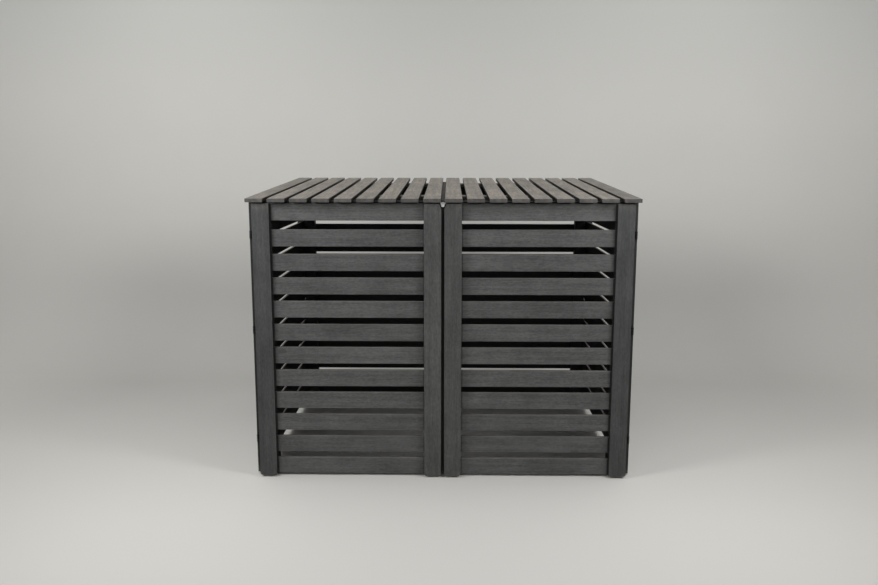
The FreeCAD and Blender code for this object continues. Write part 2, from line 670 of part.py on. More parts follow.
# Rails on the posts, between the side boards.
def cross_rail(name, depth, height, depth_low, foot, tools):
    """A rail across the store on its front or rear posts."""
    timber = board(
        f"{name}_timber", (f"-2*{POST_SIDE}", depth, height), (POST_SIDE, depth_low, foot), X)
    sub_part(name, drilled(name, timber, tools))


cross_rail(
    "front_top_rail", "post_depth", "front_rail_height", FRAME_FRONT, FRONT_RAIL_FOOT,
    [rail_screws["front", "left"],
     mirrored("right_front_rail_screws", rail_screws["front", "left"]),
     rail_screws["front", "centre"], front_end_screws, catch_screws],
)
cross_rail(
    "rear_top_rail", "post_depth + rear_board_thickness", "rear_rail_height",
    REAR_POSTS_FRONT, REAR_RAIL_FOOT,
    [rail_screws["rear", "left"], mirrored("right_rear_rail_screws", rail_screws["rear", "left"]),
     rail_screws["rear", "centre"], rear_end_screws, left_rail_hinge_screws,
     mirrored("right_rail_hinge_screws", left_rail_hinge_screws)],
)
centre_rail_timber = outline_board(
    "centre_top_rail_timber", "YZ_Plane",
    [(FRONT_POSTS_REAR, centre_rail_foot(FRONT_POSTS_REAR)),
     (REAR_POSTS_FRONT, centre_rail_foot(REAR_POSTS_FRONT)),
     (REAR_POSTS_FRONT, lid_seat(REAR_POSTS_FRONT)),
     (FRONT_POSTS_REAR, lid_seat(FRONT_POSTS_REAR))],
    "centre_post_width", ("-centre_post_width/2", "0", "0"),
)
sub_part("centre_top_rail",
         drilled("centre_top_rail", centre_rail_timber, [front_end_screws, rear_end_screws]))

# Side boards: level ones, and a top one that follows the lids.
SIDE_ROUND = "(side_board_thickness - thin_board_flat)/2"
side_timbers = [
    board(
        f"side_board_{place + 1}",
        ("side_board_thickness", f"{FRAME_REAR} - {FRAME_FRONT}", SIDE_BOARD_WIDTH),
        (SIDE_BOARDS, FRAME_FRONT, side_board_foot(place)), Y, SIDE_ROUND,
    )
    for place in range(SIDE_BOARD_COUNT)
]
TOP_BOARD_FOOT = side_board_foot(SIDE_BOARD_COUNT)
side_timbers.append(outline_board(
    "side_top_board", "YZ_Plane",
    [(FRAME_FRONT, TOP_BOARD_FOOT), (FRAME_REAR, TOP_BOARD_FOOT),
     (FRAME_REAR, lid_seat(FRAME_REAR)), (FRAME_FRONT, lid_seat(FRAME_FRONT))],
    "side_board_thickness", (SIDE_BOARDS, "0", "0"),
))
left_side_boards = sub_part(
    "left_side_boards",
    drilled("left_side_boards", group("side_board_set", side_timbers), [left_side_screws]),
)
sub_part("right_side_boards", mirrored("right_side_boards", left_side_boards))


# Side stiles: upright trims over both ends of the side boards, cut to the lids' slope.
def side_stile(name, depth_low):
    """One upright trim outside the side boards."""
    depth_high = f"({depth_low} + side_stile_width)"
    return outline_board(
        name, "YZ_Plane",
        [(depth_low, "side_stile_foot_gap"), (depth_high, "side_stile_foot_gap"),
         (depth_high, lid_seat(depth_high)), (depth_low, lid_seat(depth_low))],
        "side_stile_thickness", (STORE_SIDE, "0", "0"), Z,
    )


side_stiles = group("side_stile_set", [
    side_stile("front_side_stile", FRAME_FRONT),
    side_stile("rear_side_stile", f"({FRAME_REAR} - side_stile_width)"),
])
left_side_stiles = sub_part(
    "left_side_stiles", drilled("left_side_stiles", side_stiles, [left_side_screws]))
sub_part("right_side_stiles", mirrored("right_side_stiles", left_side_stiles))

# Rear boards, between the side boards.
rear_timbers = [
    board(
        f"rear_board_{place + 1}",
        (f"-2*{POST_SIDE}", "rear_board_thickness", REAR_BOARD_WIDTH),
        (POST_SIDE, REAR_BOARDS_FRONT, rear_board_foot(place)), X,
        "(rear_board_thickness - thin_board_flat)/2",
    )
    for place in range(REAR_BOARD_COUNT)
]
sub_part("rear_boards", drilled(
    "rear_boards", group("rear_board_set", rear_timbers),
    [left_rear_screws, centre_rear_screws, mirrored("right_rear_screws", left_rear_screws)],
))

# Doors: slats screwed to the backs of an outer stile and a meeting stile.
MEETING_STILE = f"({DOOR_MEETING} - door_stile_width)"
SLAT_LENGTH = f"({SLATS_MEETING} - {DOOR_SIDE})"
slat_screw_places = []
for place in range(1, SLAT_COUNT + 1):
    for height in inset_pair(slat_foot(place), "slat_width"):
        for stile in (DOOR_SIDE, MEETING_STILE):
            slat_screw_places.append((f"({stile} + door_stile_width/2)", DOOR_BACK, height))
slat_screws = screws(
    "left_slat_screws", "wood", "slat_thickness + slat_screw_bite", -Y, slat_screw_places)


def door_stile(name, low, cut):
    """An upright of the door; cut says whether its top corner towards the middle is cut off."""
    high = f"({low} + door_stile_width)"
    outline = [
        (low, "door_foot_gap + stile_foot_chamfer"),
        (f"{low} + stile_foot_chamfer", "door_foot_gap"),
        (f"{high} - stile_foot_chamfer", "door_foot_gap"),
        (high, "door_foot_gap + stile_foot_chamfer"),
    ]
    if cut:
        outline.append((high, f"{DOOR_TOP} - stile_cut_height"))
        outline.append((f"{high} - stile_cut_width", DOOR_TOP))
    else:
        outline.append((high, DOOR_TOP))
    outline.append((low, DOOR_TOP))
    timber = outline_board(
        f"{name}_timber", "XZ_Plane", outline, "door_stile_thickness", ("0", SLAT_FACE, "0"), Z)
    left = sub_part(f"left_door_{name}", drilled(f"left_door_{name}", timber, [slat_screws]))
    sub_part(f"right_door_{name}", mirrored(f"right_door_{name}", left))


door_stile("outer_stile", DOOR_SIDE, False)
door_stile("meeting_stile", MEETING_STILE, True)

KEEPER_LOW = f"({SLATS_MEETING} - keeper_inset - keeper_width)"
KEEPER_FOOT = f"({DOOR_TOP} - keeper_inset - keeper_height)"
KEEPER_BACK = f"({DOOR_BACK} + door_metal)"
keeper_screws = screws(
    "left_keeper_screws", "hinge", "door_metal + hinge_screw_bite", -Y,
    [(f"{KEEPER_LOW} + keeper_width/2", KEEPER_BACK, height)
     for height in inset_pair(KEEPER_FOOT, "keeper_height", "hinge_screw_inset")],
)
keeper_sheet = box(
    "left_keeper_sheet", ("keeper_width", "door_metal", "keeper_height"),
    (KEEPER_LOW, DOOR_BACK, KEEPER_FOOT),
)
left_keeper = sub_part("left_door_keeper", drilled("left_door_keeper", keeper_sheet, [keeper_screws]))
sub_part("right_door_keeper", mirrored("right_door_keeper", left_keeper))

for place in range(1, SLAT_COUNT + 1):
    timber = board(
        f"slat_{place:02d}_timber", (SLAT_LENGTH, "slat_thickness", "slat_width"),
        (DOOR_SIDE, SLAT_FACE, slat_foot(place)), X,
    )
    tools = [slat_screws]
    if place == 1:
        tools.append(keeper_screws)
    if place in [slat for slat, _ in DOOR_HINGE_SLATS.values()]:
        tools.append(left_door_hinge_screws)
    node = f"door_slat_{place:02d}"
    left = sub_part(f"left_{node}", drilled(f"left_{node}", timber, tools))
    sub_part(f"right_{node}", mirrored(f"right_{node}", left))

left_door_leaf_set = sub_part("left_door_hinge_leaves", drilled(
    "left_door_hinge_leaves", group("left_door_leaf_blanks", left_door_leaves),
    [left_door_hinge_screws],
))
sub_part("right_door_hinge_leaves", mirrored("right_door_hinge_leaves", left_door_leaf_set))
left_door_screws = sub_part(
    "left_door_screws",
    group("left_door_screws", [slat_screws, left_door_hinge_screws, keeper_screws]))
sub_part("right_door_screws", mirrored("right_door_screws", left_door_screws))

# Lids, in their own frame: y runs up the slope from the front edge, z = 0 is the underside.
FRONT_BATTEN = "front_batten_offset"
REAR_BATTEN = "(lid_length - rear_batten_offset - batten_width)"
BATTEN_LOW = f"({LID_SIDE} + batten_end_inset)"
BATTEN_LENGTH = f"({LID_MEETING} - {LID_SIDE} - 2*batten_end_inset)"
batten_screw_places = [f"({slat_low} + lid_slat_width/2)" for slat_low in lid_slat_lows]
batten_screw_places[0] = f"(({BATTEN_LOW} + {lid_slat_lows[0]} + lid_slat_width)/2)"
batten_screw_places[-1] = f"(({BATTEN_LOW} + {BATTEN_LENGTH} + {lid_slat_lows[-1]})/2)"
batten_screws = screws(
    "left_batten_screws", "wood", "batten_thickness + lid_screw_bite", Z,
    [(across, along, "-batten_thickness")
     for across in batten_screw_places
     for batten in (FRONT_BATTEN, REAR_BATTEN)
     for along in inset_pair(batten, "batten_width")],
)
lid_slat_timbers = [
    board(f"lid_slat_{place}", ("lid_slat_width", "lid_length", "lid_thickness"),
          (slat_low, "0", "0"), Y)
    for place, slat_low in enumerate(lid_slat_lows, start=1)
]
batten_timbers = [
    board(f"lid_batten_{place}", (BATTEN_LENGTH, "batten_width", "batten_thickness"),
          (BATTEN_LOW, along, "-batten_thickness"), X)
    for place, along in enumerate((FRONT_BATTEN, REAR_BATTEN), start=1)
]
lid_slats = drilled(
    "lid_slats", group("lid_slat_set", lid_slat_timbers), [batten_screws, left_lid_hinge_screws])
lid_battens = drilled("lid_battens", group("lid_batten_set", batten_timbers), [batten_screws])
lid_leaves = drilled(
    "lid_leaves", group("lid_leaf_blanks", left_lid_leaves), [left_lid_hinge_screws])
lid_screws = group("lid_screws", [batten_screws, left_lid_hinge_screws])
for node, item in (
    ("lid_slats", lid_slats), ("lid_battens", lid_battens),
    ("lid_hinge_leaves", lid_leaves), ("lid_screws", lid_screws),
):
    left = sub_part(f"left_{node}", tilted(f"left_{node}", item))
    sub_part(f"right_{node}", mirrored(f"right_{node}", left))

doc.recompute()
failed = [item.Label for item in doc.Objects if {"Invalid", "Error"} & set(item.State)]
if failed:
    raise RuntimeError(f"objects that failed: {failed}")
for item in sub_parts:
    if item.Shape.isNull() or not item.Shape.isValid():
        raise RuntimeError(f"{item.Label} has no valid shape")

os.makedirs("parts", exist_ok=True)
for item in sub_parts:
    item.Shape.exportStep(f"parts/{item.Label}.step")
    extent = item.Shape.BoundBox
    print(f"{item.Label}: {len(item.Shape.Solids)} solids, {item.Shape.Volume/1000:.1f} cm3, "
          f"x {extent.XMin:.1f} to {extent.XMax:.1f}, y {extent.YMin:.1f} to {extent.YMax:.1f}, "
          f"z {extent.ZMin:.1f} to {extent.ZMax:.1f}")
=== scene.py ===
"""The looks of a slatted bin store with two bays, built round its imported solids.

Every board, rail and post is made anew from its solid's sizes, with rounded edges, small
irregularities and its own run of grain. Hinges, pins and keepers keep their solids and get their
finishes, the catch plate gets a tongue, and every screw gets a head with a cross recess.
"""

import sys

import json
import logging
import math
import random
from collections.abc import Callable, Iterable, Mapping, Sequence
from dataclasses import dataclass
from enum import Enum
from typing import ClassVar

import bmesh
import bpy
from mathutils import Matrix, Vector, noise

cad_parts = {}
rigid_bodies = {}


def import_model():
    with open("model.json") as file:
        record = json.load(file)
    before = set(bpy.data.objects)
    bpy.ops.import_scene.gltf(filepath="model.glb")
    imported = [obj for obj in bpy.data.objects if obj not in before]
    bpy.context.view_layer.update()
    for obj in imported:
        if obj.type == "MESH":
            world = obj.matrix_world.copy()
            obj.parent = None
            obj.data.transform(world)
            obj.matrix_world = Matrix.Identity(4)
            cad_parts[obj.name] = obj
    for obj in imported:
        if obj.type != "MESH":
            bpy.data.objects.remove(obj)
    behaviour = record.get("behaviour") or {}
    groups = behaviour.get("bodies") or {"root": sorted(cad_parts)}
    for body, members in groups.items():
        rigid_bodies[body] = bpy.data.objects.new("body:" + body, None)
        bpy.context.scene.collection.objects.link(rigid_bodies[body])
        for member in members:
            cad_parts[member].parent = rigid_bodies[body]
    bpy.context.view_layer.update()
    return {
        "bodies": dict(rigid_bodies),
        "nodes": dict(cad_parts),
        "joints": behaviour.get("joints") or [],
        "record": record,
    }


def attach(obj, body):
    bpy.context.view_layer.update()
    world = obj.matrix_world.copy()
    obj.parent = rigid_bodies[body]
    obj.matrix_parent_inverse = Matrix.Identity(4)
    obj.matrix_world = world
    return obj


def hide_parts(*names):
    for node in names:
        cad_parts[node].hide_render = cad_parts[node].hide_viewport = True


LOG = logging.getLogger("bin_store")
Colour = tuple[float, float, float]
Spot = tuple[float, float, float]
Socket = bpy.types.NodeSocket
Feed = Socket | float | Sequence[float]
Nodes = dict[str, bpy.types.Object]
Shape = bmesh.types.BMesh
Corner = bmesh.types.BMVert
Edge = bmesh.types.BMEdge
Face = bmesh.types.BMFace
# How much painted shade a face gets, by its middle and the way that it looks.
PaintedShadeRule = Callable[[Vector, Vector], float]

WHITE = (1.0, 1.0, 1.0)
DISPLAY_WHITE = 255
DARK_KNEE = 0.04045
DARK_SLOPE = 12.92
LIGHT_OFFSET = 0.055
LIGHT_POWER = 2.4

NARROW_MIDDLE = (0.35, 0.65)
MIDDLE = (0.3, 0.7)
WIDE_MIDDLE = (0.25, 0.75)
TOUCH = 1e-6

GRAIN = "grain"
TONE = "tone"
WEAR = "wear"
CUT_END = "cut_end"
# The face attribute that holds painted shade.
PAINTED_SHADE = "shelter"


def shown(red: float, green: float, blue: float) -> Colour:
    """Turns a colour as a screen shows it, 0 to 255, into the linear colour of a shader.

    Args:
        red: Red from 0 to 255.
        green: Green from 0 to 255.
        blue: Blue from 0 to 255.

    Returns:
        The linear red, green and blue from 0 to 1.
    """

    def linear(value: float) -> float:
        """One channel of the colour."""
        share = value / DISPLAY_WHITE
        if share <= DARK_KNEE:
            return share / DARK_SLOPE
        return ((share + LIGHT_OFFSET) / (1.0 + LIGHT_OFFSET)) ** LIGHT_POWER

    return linear(red), linear(green), linear(blue)


def grey(value: float) -> Colour:
    """The linear colour of a grey that a screen shows as a value from 0 to 255."""
    return shown(value, value, value)


def darkened(colour: Colour, share: float) -> Colour:
    """The colour with a share of its light left."""
    return tuple(part * share for part in colour)


class Graph:
    """A node tree with short ways to add and join its nodes."""

    mix_inputs = (0, 6, 7)
    mix_output = 2

    def __init__(self, tree: bpy.types.NodeTree) -> None:
        """Starts from an empty tree."""
        self.tree = tree
        tree.nodes.clear()

    def add(self, kind: str, inputs: Mapping[int | str, Feed] | None = None,
            **settings: object) -> bpy.types.Node:
        """Adds a node.

        Args:
            kind: The node's type name after "ShaderNode".
            inputs: What its inputs get, by name or place.
            settings: Properties to set on it.

        Returns:
            The new node.
        """
        node = self.tree.nodes.new(f"ShaderNode{kind}")
        for name, value in settings.items():
            setattr(node, name, value)
        for place, value in (inputs or {}).items():
            self.feed(node.inputs[place], value)
        return node

    def feed(self, socket: Socket, value: Feed) -> None:
        """Links another node's output to a socket, or writes a constant on it.

        Args:
            socket: The input to feed.
            value: An output socket, a number, or a row of numbers such as a colour without alpha.
        """
        if isinstance(value, Socket):
            self.tree.links.new(value, socket)
        else:
            socket.default_value = (*value, 1.0) if socket.type == "RGBA" else value

    def math(self, operation: str, *values: Feed, clamp: bool = False) -> Socket:
        """The result of one step of arithmetic on one to three values."""
        return self.add("Math", dict(enumerate(values)), operation=operation, use_clamp=clamp).outputs[0]

    def times(self, first: Feed, second: Feed) -> Socket:
        """Two values multiplied."""
        return self.math("MULTIPLY", first, second)

    def stretch(self, vector: Feed, scale: Feed) -> Socket:
        """A position scaled along its three axes."""
        return self.add("VectorMath", {0: vector, 1: scale}, operation="MULTIPLY").outputs[0]

    def noise(self, vector: Feed, scale: Feed, detail: float, roughness: float = 0.5) -> Socket:
        """A noise value from 0 to 1.

        Args:
            vector: Where to read the noise.
            scale: Its scale, or its three scales along the axes.
            detail: How many finer octaves it has.
            roughness: How strong those octaves are.

        Returns:
            The value's socket.
        """
        if not isinstance(scale, float):
            vector = self.stretch(vector, scale)
            scale = 1.0
        inputs = {"Vector": vector, "Scale": scale, "Detail": detail, "Roughness": roughness}
        return self.add("TexNoise", inputs).outputs["Fac"]

    def span(self, value: Feed, low: float, high: float, start: float = 0.0, end: float = 1.0,
             smooth: bool = False) -> Socket:
        """Carries a value from one range to another, held at its ends.

        Args:
            value: The value.
            low: The value that becomes start.
            high: The value that becomes end.
            start: The result at low.
            end: The result at high.
            smooth: Whether the change eases in and out.

        Returns:
            The result's socket.
        """
        inputs = {"Value": value, "From Min": low, "From Max": high, "To Min": start, "To Max": end}
        change = "SMOOTHSTEP" if smooth else "LINEAR"
        return self.add("MapRange", inputs, interpolation_type=change).outputs["Result"]

    def blend(self, share: Feed, first: Feed, second: Feed) -> Socket:
        """The first colour with a share of the second in it."""
        inputs = dict(zip(self.mix_inputs, (share, first, second)))
        return self.add("Mix", inputs, data_type="RGBA").outputs[self.mix_output]

    def parts(self, vector: Feed) -> bpy.types.NodeOutputs:
        """The X, Y and Z of a vector."""
        return self.add("SeparateXYZ", {0: vector}).outputs

    def bump(self, height: Feed, strength: float, distance: float) -> Socket:
        """A normal that is bent by a height."""
        inputs = {"Strength": strength, "Distance": distance, "Height": height}
        return self.add("Bump", inputs).outputs["Normal"]

    def attribute(self, name: str, output: str = "Fac") -> Socket:
        """The value of one of a piece's own attributes."""
        return self.add("Attribute", attribute_name=name).outputs[output]

    def coordinate(self, output: str) -> Socket:
        """One of the texture coordinates, such as Object."""
        return self.add("TexCoord").outputs[output]


class EffectGroup:
    """A shader node group that is built once and placed in each material with its own values."""

    name: ClassVar[str]
    inputs: ClassVar[dict[str, float | tuple[float, float, float]]]
    outputs: ClassVar[tuple[str, ...]]

    def tree(self) -> bpy.types.NodeTree:
        """Builds the group's node tree on the first call.

        Returns:
            The node tree.
        """
        found = bpy.data.node_groups.get(self.name)
        if found is not None:
            return found
        tree = bpy.data.node_groups.new(self.name, "ShaderNodeTree")
        for name, value in self.inputs.items():
            kind = "NodeSocketVector" if isinstance(value, tuple) else "NodeSocketFloat"
            tree.interface.new_socket(name, in_out="INPUT", socket_type=kind).default_value = value
        for name in self.outputs:
            tree.interface.new_socket(name, in_out="OUTPUT", socket_type="NodeSocketFloat")
        graph = Graph(tree)
        entry = tree.nodes.new("NodeGroupInput")
        leave = tree.nodes.new("NodeGroupOutput")
        for name, value in self.wire(graph, entry.outputs).items():
            graph.feed(leave.inputs[name], value)
        return tree

    def wire(self, graph: Graph, entry: bpy.types.NodeOutputs) -> dict[str, Socket]:
        """Builds the group's inside from its input values, and gives its outputs by name."""
        raise NotImplementedError

    def place(self, graph: Graph, **values: Feed) -> bpy.types.NodeOutputs:
        """Puts the group into a material, with its inputs by name and underscores for spaces."""
        inputs = {name.replace("_", " "): value for name, value in values.items()}
        return graph.add("Group", inputs, node_tree=self.tree()).outputs


class TimberFigure(EffectGroup):
    """The figure of a planed softwood board: fine fibres, bands, growth rings and knots."""

    name = "timber_figure"
    inputs = {"Position": (0.0, 0.0, 0.0), "Speck Stretch": (70.0, 150.0, 150.0),
              "Ring Spacing": 0.006, "Knots": 1.0}
    outputs = ("Fibre", "Band", "Speck", "Cloud", "Ring", "Knot", "Height")
    fibre_stretch = (11.0, 420.0, 420.0)
    band_stretch = (2.2, 60.0, 60.0)
    cloud_stretch = (8.0, 9.0, 9.0)
    wander_stretch = (1.7, 9.0, 9.0)
    wander_drift = 0.012
    knot_stretch = (4.6, 9.5, 9.5)
    knot_choice = (0.62, 0.64)
    knot_reach = (0.105, 0.06)
    knot_relief = -0.9
    swirl_reach = (0.34, 0.06)
    swirl_drift = 0.006
    ring_sharpness = 3.0
    ring_relief = 0.45

    def wire(self, graph: Graph, entry: bpy.types.NodeOutputs) -> dict[str, Socket]:
        """Builds the figure from the board's own position: x along it, y across, z through it.

        Args:
            graph: The group's tree.
            entry: Its input values.

        Returns:
            Its outputs by name.
        """
        position = entry["Position"]
        spread = graph.stretch(position, self.knot_stretch)
        cells = graph.add("TexVoronoi", {"Vector": spread, "Scale": 1.0}, feature="F1").outputs
        kept = graph.times(graph.span(cells["Color"], *self.knot_choice), entry["Knots"])
        swirl = graph.times(graph.span(cells["Distance"], *self.swirl_reach, smooth=True), kept)
        knot = graph.times(graph.span(cells["Distance"], *self.knot_reach, smooth=True), kept)
        wander = graph.noise(position, self.wander_stretch, detail=2.0)
        drift = graph.math("MULTIPLY_ADD", wander, self.wander_drift, graph.times(swirl, self.swirl_drift))
        parts = graph.parts(position)
        squares = [graph.math("POWER", parts[axis], 2.0) for axis in "YZ"]
        radius = graph.math("SQRT", graph.math("ADD", *squares))
        turns = graph.math("DIVIDE", graph.math("ADD", radius, drift), entry["Ring Spacing"])
        late = graph.math("POWER", graph.math("FRACT", turns), self.ring_sharpness)
        bent = graph.add("CombineXYZ", {
            "X": parts["X"], "Y": graph.math("ADD", parts["Y"], drift), "Z": parts["Z"]}).outputs[0]
        fibre = graph.noise(bent, self.fibre_stretch, detail=4.0, roughness=0.62)
        height = graph.math("MULTIPLY_ADD", late, self.ring_relief, fibre)
        return {
            "Fibre": fibre,
            "Band": graph.noise(bent, self.band_stretch, detail=2.0),
            "Speck": graph.noise(position, entry["Speck Stretch"], detail=3.0, roughness=0.65),
            "Cloud": graph.noise(bent, self.cloud_stretch, detail=4.0, roughness=0.6),
            "Ring": late,
            "Knot": knot,
            "Height": graph.math("MULTIPLY_ADD", knot, self.knot_relief, height),
        }


class EdgeWear(EffectGroup):
    """Where a board's rounded edges are rubbed through, broken up by noise."""

    name = "edge_wear"
    inputs = {"Edge": 0.0, "Position": (0.0, 0.0, 0.0), "Amount": 0.5}
    outputs = ("Mask",)
    scuff_stretch = (14.0, 60.0, 60.0)
    scuff_share = 0.9
    nick_scale = 240.0
    nick_share = 0.35
    middle = 0.62
    rubbed_from = (0.38, 0.95)

    def wire(self, graph: Graph, entry: bpy.types.NodeOutputs) -> dict[str, Socket]:
        """Builds the mask from the closeness of an edge, long scuffs and small nicks.

        Args:
            graph: The group's tree.
            entry: Its input values.

        Returns:
            Its outputs by name.
        """
        scuffs = graph.noise(entry["Position"], self.scuff_stretch, detail=4.0, roughness=0.65)
        nicks = graph.noise(entry["Position"], self.nick_scale, detail=2.0, roughness=0.6)
        broken = graph.math("MULTIPLY_ADD", nicks, self.nick_share, graph.times(scuffs, self.scuff_share))
        reach = graph.math("ADD", entry["Edge"], graph.math("SUBTRACT", broken, self.middle))
        mask = graph.span(reach, *self.rubbed_from, smooth=True)
        return {"Mask": graph.math("MULTIPLY", mask, entry["Amount"], clamp=True)}


class SettledDust(EffectGroup):
    """Fine dust and weathering on faces that look upwards."""

    name = "settled_dust"
    inputs = {"Position": (0.0, 0.0, 0.0), "Amount": 0.5}
    outputs = ("Mask", "Upward")
    upward_from = (0.25, 0.9)
    patch_scale = 9.0
    patch_cover = (0.35, 0.85)
    speck_scale = 420.0
    speck_share = 0.4

    def wire(self, graph: Graph, entry: bpy.types.NodeOutputs) -> dict[str, Socket]:
        """Builds the mask from the object's own normal and a patchy noise.

        Args:
            graph: The group's tree.
            entry: Its input values.

        Returns:
            Its outputs by name.
        """
        facing = graph.parts(graph.coordinate("Normal"))
        upward = graph.span(facing["Z"], *self.upward_from, smooth=True)
        patches = graph.noise(entry["Position"], self.patch_scale, detail=5.0, roughness=0.6)
        patches = graph.span(patches, *MIDDLE, *self.patch_cover)
        specks = graph.noise(entry["Position"], self.speck_scale, detail=1.0)
        cover = graph.math("MULTIPLY_ADD", specks, self.speck_share, patches)
        mask = graph.math("MULTIPLY", graph.times(upward, cover), entry["Amount"], clamp=True)
        return {"Mask": mask, "Upward": upward}


class RubbedMetal(EffectGroup):
    """Edges of pressed sheet that are rubbed bright, and a fine uneven sheen."""

    name = "rubbed_metal"
    inputs = {"Position": (0.0, 0.0, 0.0), "Radius": 0.0006, "Amount": 0.6}
    outputs = ("Edge", "Cloud", "Grit")
    bend_from = (0.995, 0.86)
    scuff_scale = 160.0
    scuffed_from = (0.35, 0.6)
    cloud_scale = 38.0
    grit_scale = 1500.0

    def wire(self, graph: Graph, entry: bpy.types.NodeOutputs) -> dict[str, Socket]:
        """Builds the edge mask from a rounded normal set against the true one.

        Args:
            graph: The group's tree.
            entry: Its input values.

        Returns:
            Its outputs by name.
        """
        position = entry["Position"]
        rounded = graph.add("Bevel", {"Radius": entry["Radius"]}, samples=4).outputs["Normal"]
        true = graph.add("NewGeometry").outputs["Normal"]
        match = graph.add("VectorMath", {0: rounded, 1: true}, operation="DOT_PRODUCT").outputs["Value"]
        scuffs = graph.noise(position, self.scuff_scale, detail=4.0, roughness=0.65)
        edge = graph.times(graph.span(match, *self.bend_from), graph.span(scuffs, *self.scuffed_from))
        return {
            "Edge": graph.math("MULTIPLY", edge, entry["Amount"], clamp=True),
            "Cloud": graph.noise(position, self.cloud_scale, detail=4.0, roughness=0.55),
            "Grit": graph.noise(position, self.grit_scale, detail=2.0),
        }


FIGURE = TimberFigure()
EDGES = EdgeWear()
DUST = SettledDust()
RUBBED = RubbedMetal()


class Finish:
    """A procedural material that is made once, under its own name."""

    name: str

    def material(self) -> bpy.types.Material:
        """Makes the material on the first call.

        Returns:
            The material.
        """
        found = bpy.data.materials.get(self.name)
        if found is not None:
            return found
        material = bpy.data.materials.new(self.name)
        material.use_nodes = True
        graph = Graph(material.node_tree)
        graph.add("OutputMaterial", {"Surface": self.surface(graph)})
        return material

    def surface(self, graph: Graph) -> Socket:
        """Builds the material's nodes, and gives the shader's output."""
        raise NotImplementedError


@dataclass(frozen=True)
class ShadeLine:
    """A line of painted shade along another board's edge, on either side of the middle.

    Attributes:
        line: Its distance from the middle.
        reach: How far it spreads.
        share: The share of the shade colour on it.
        core: The share of its reach that is darkest.
    """

    line: float
    reach: float
    share: float
    core: float = 0.45


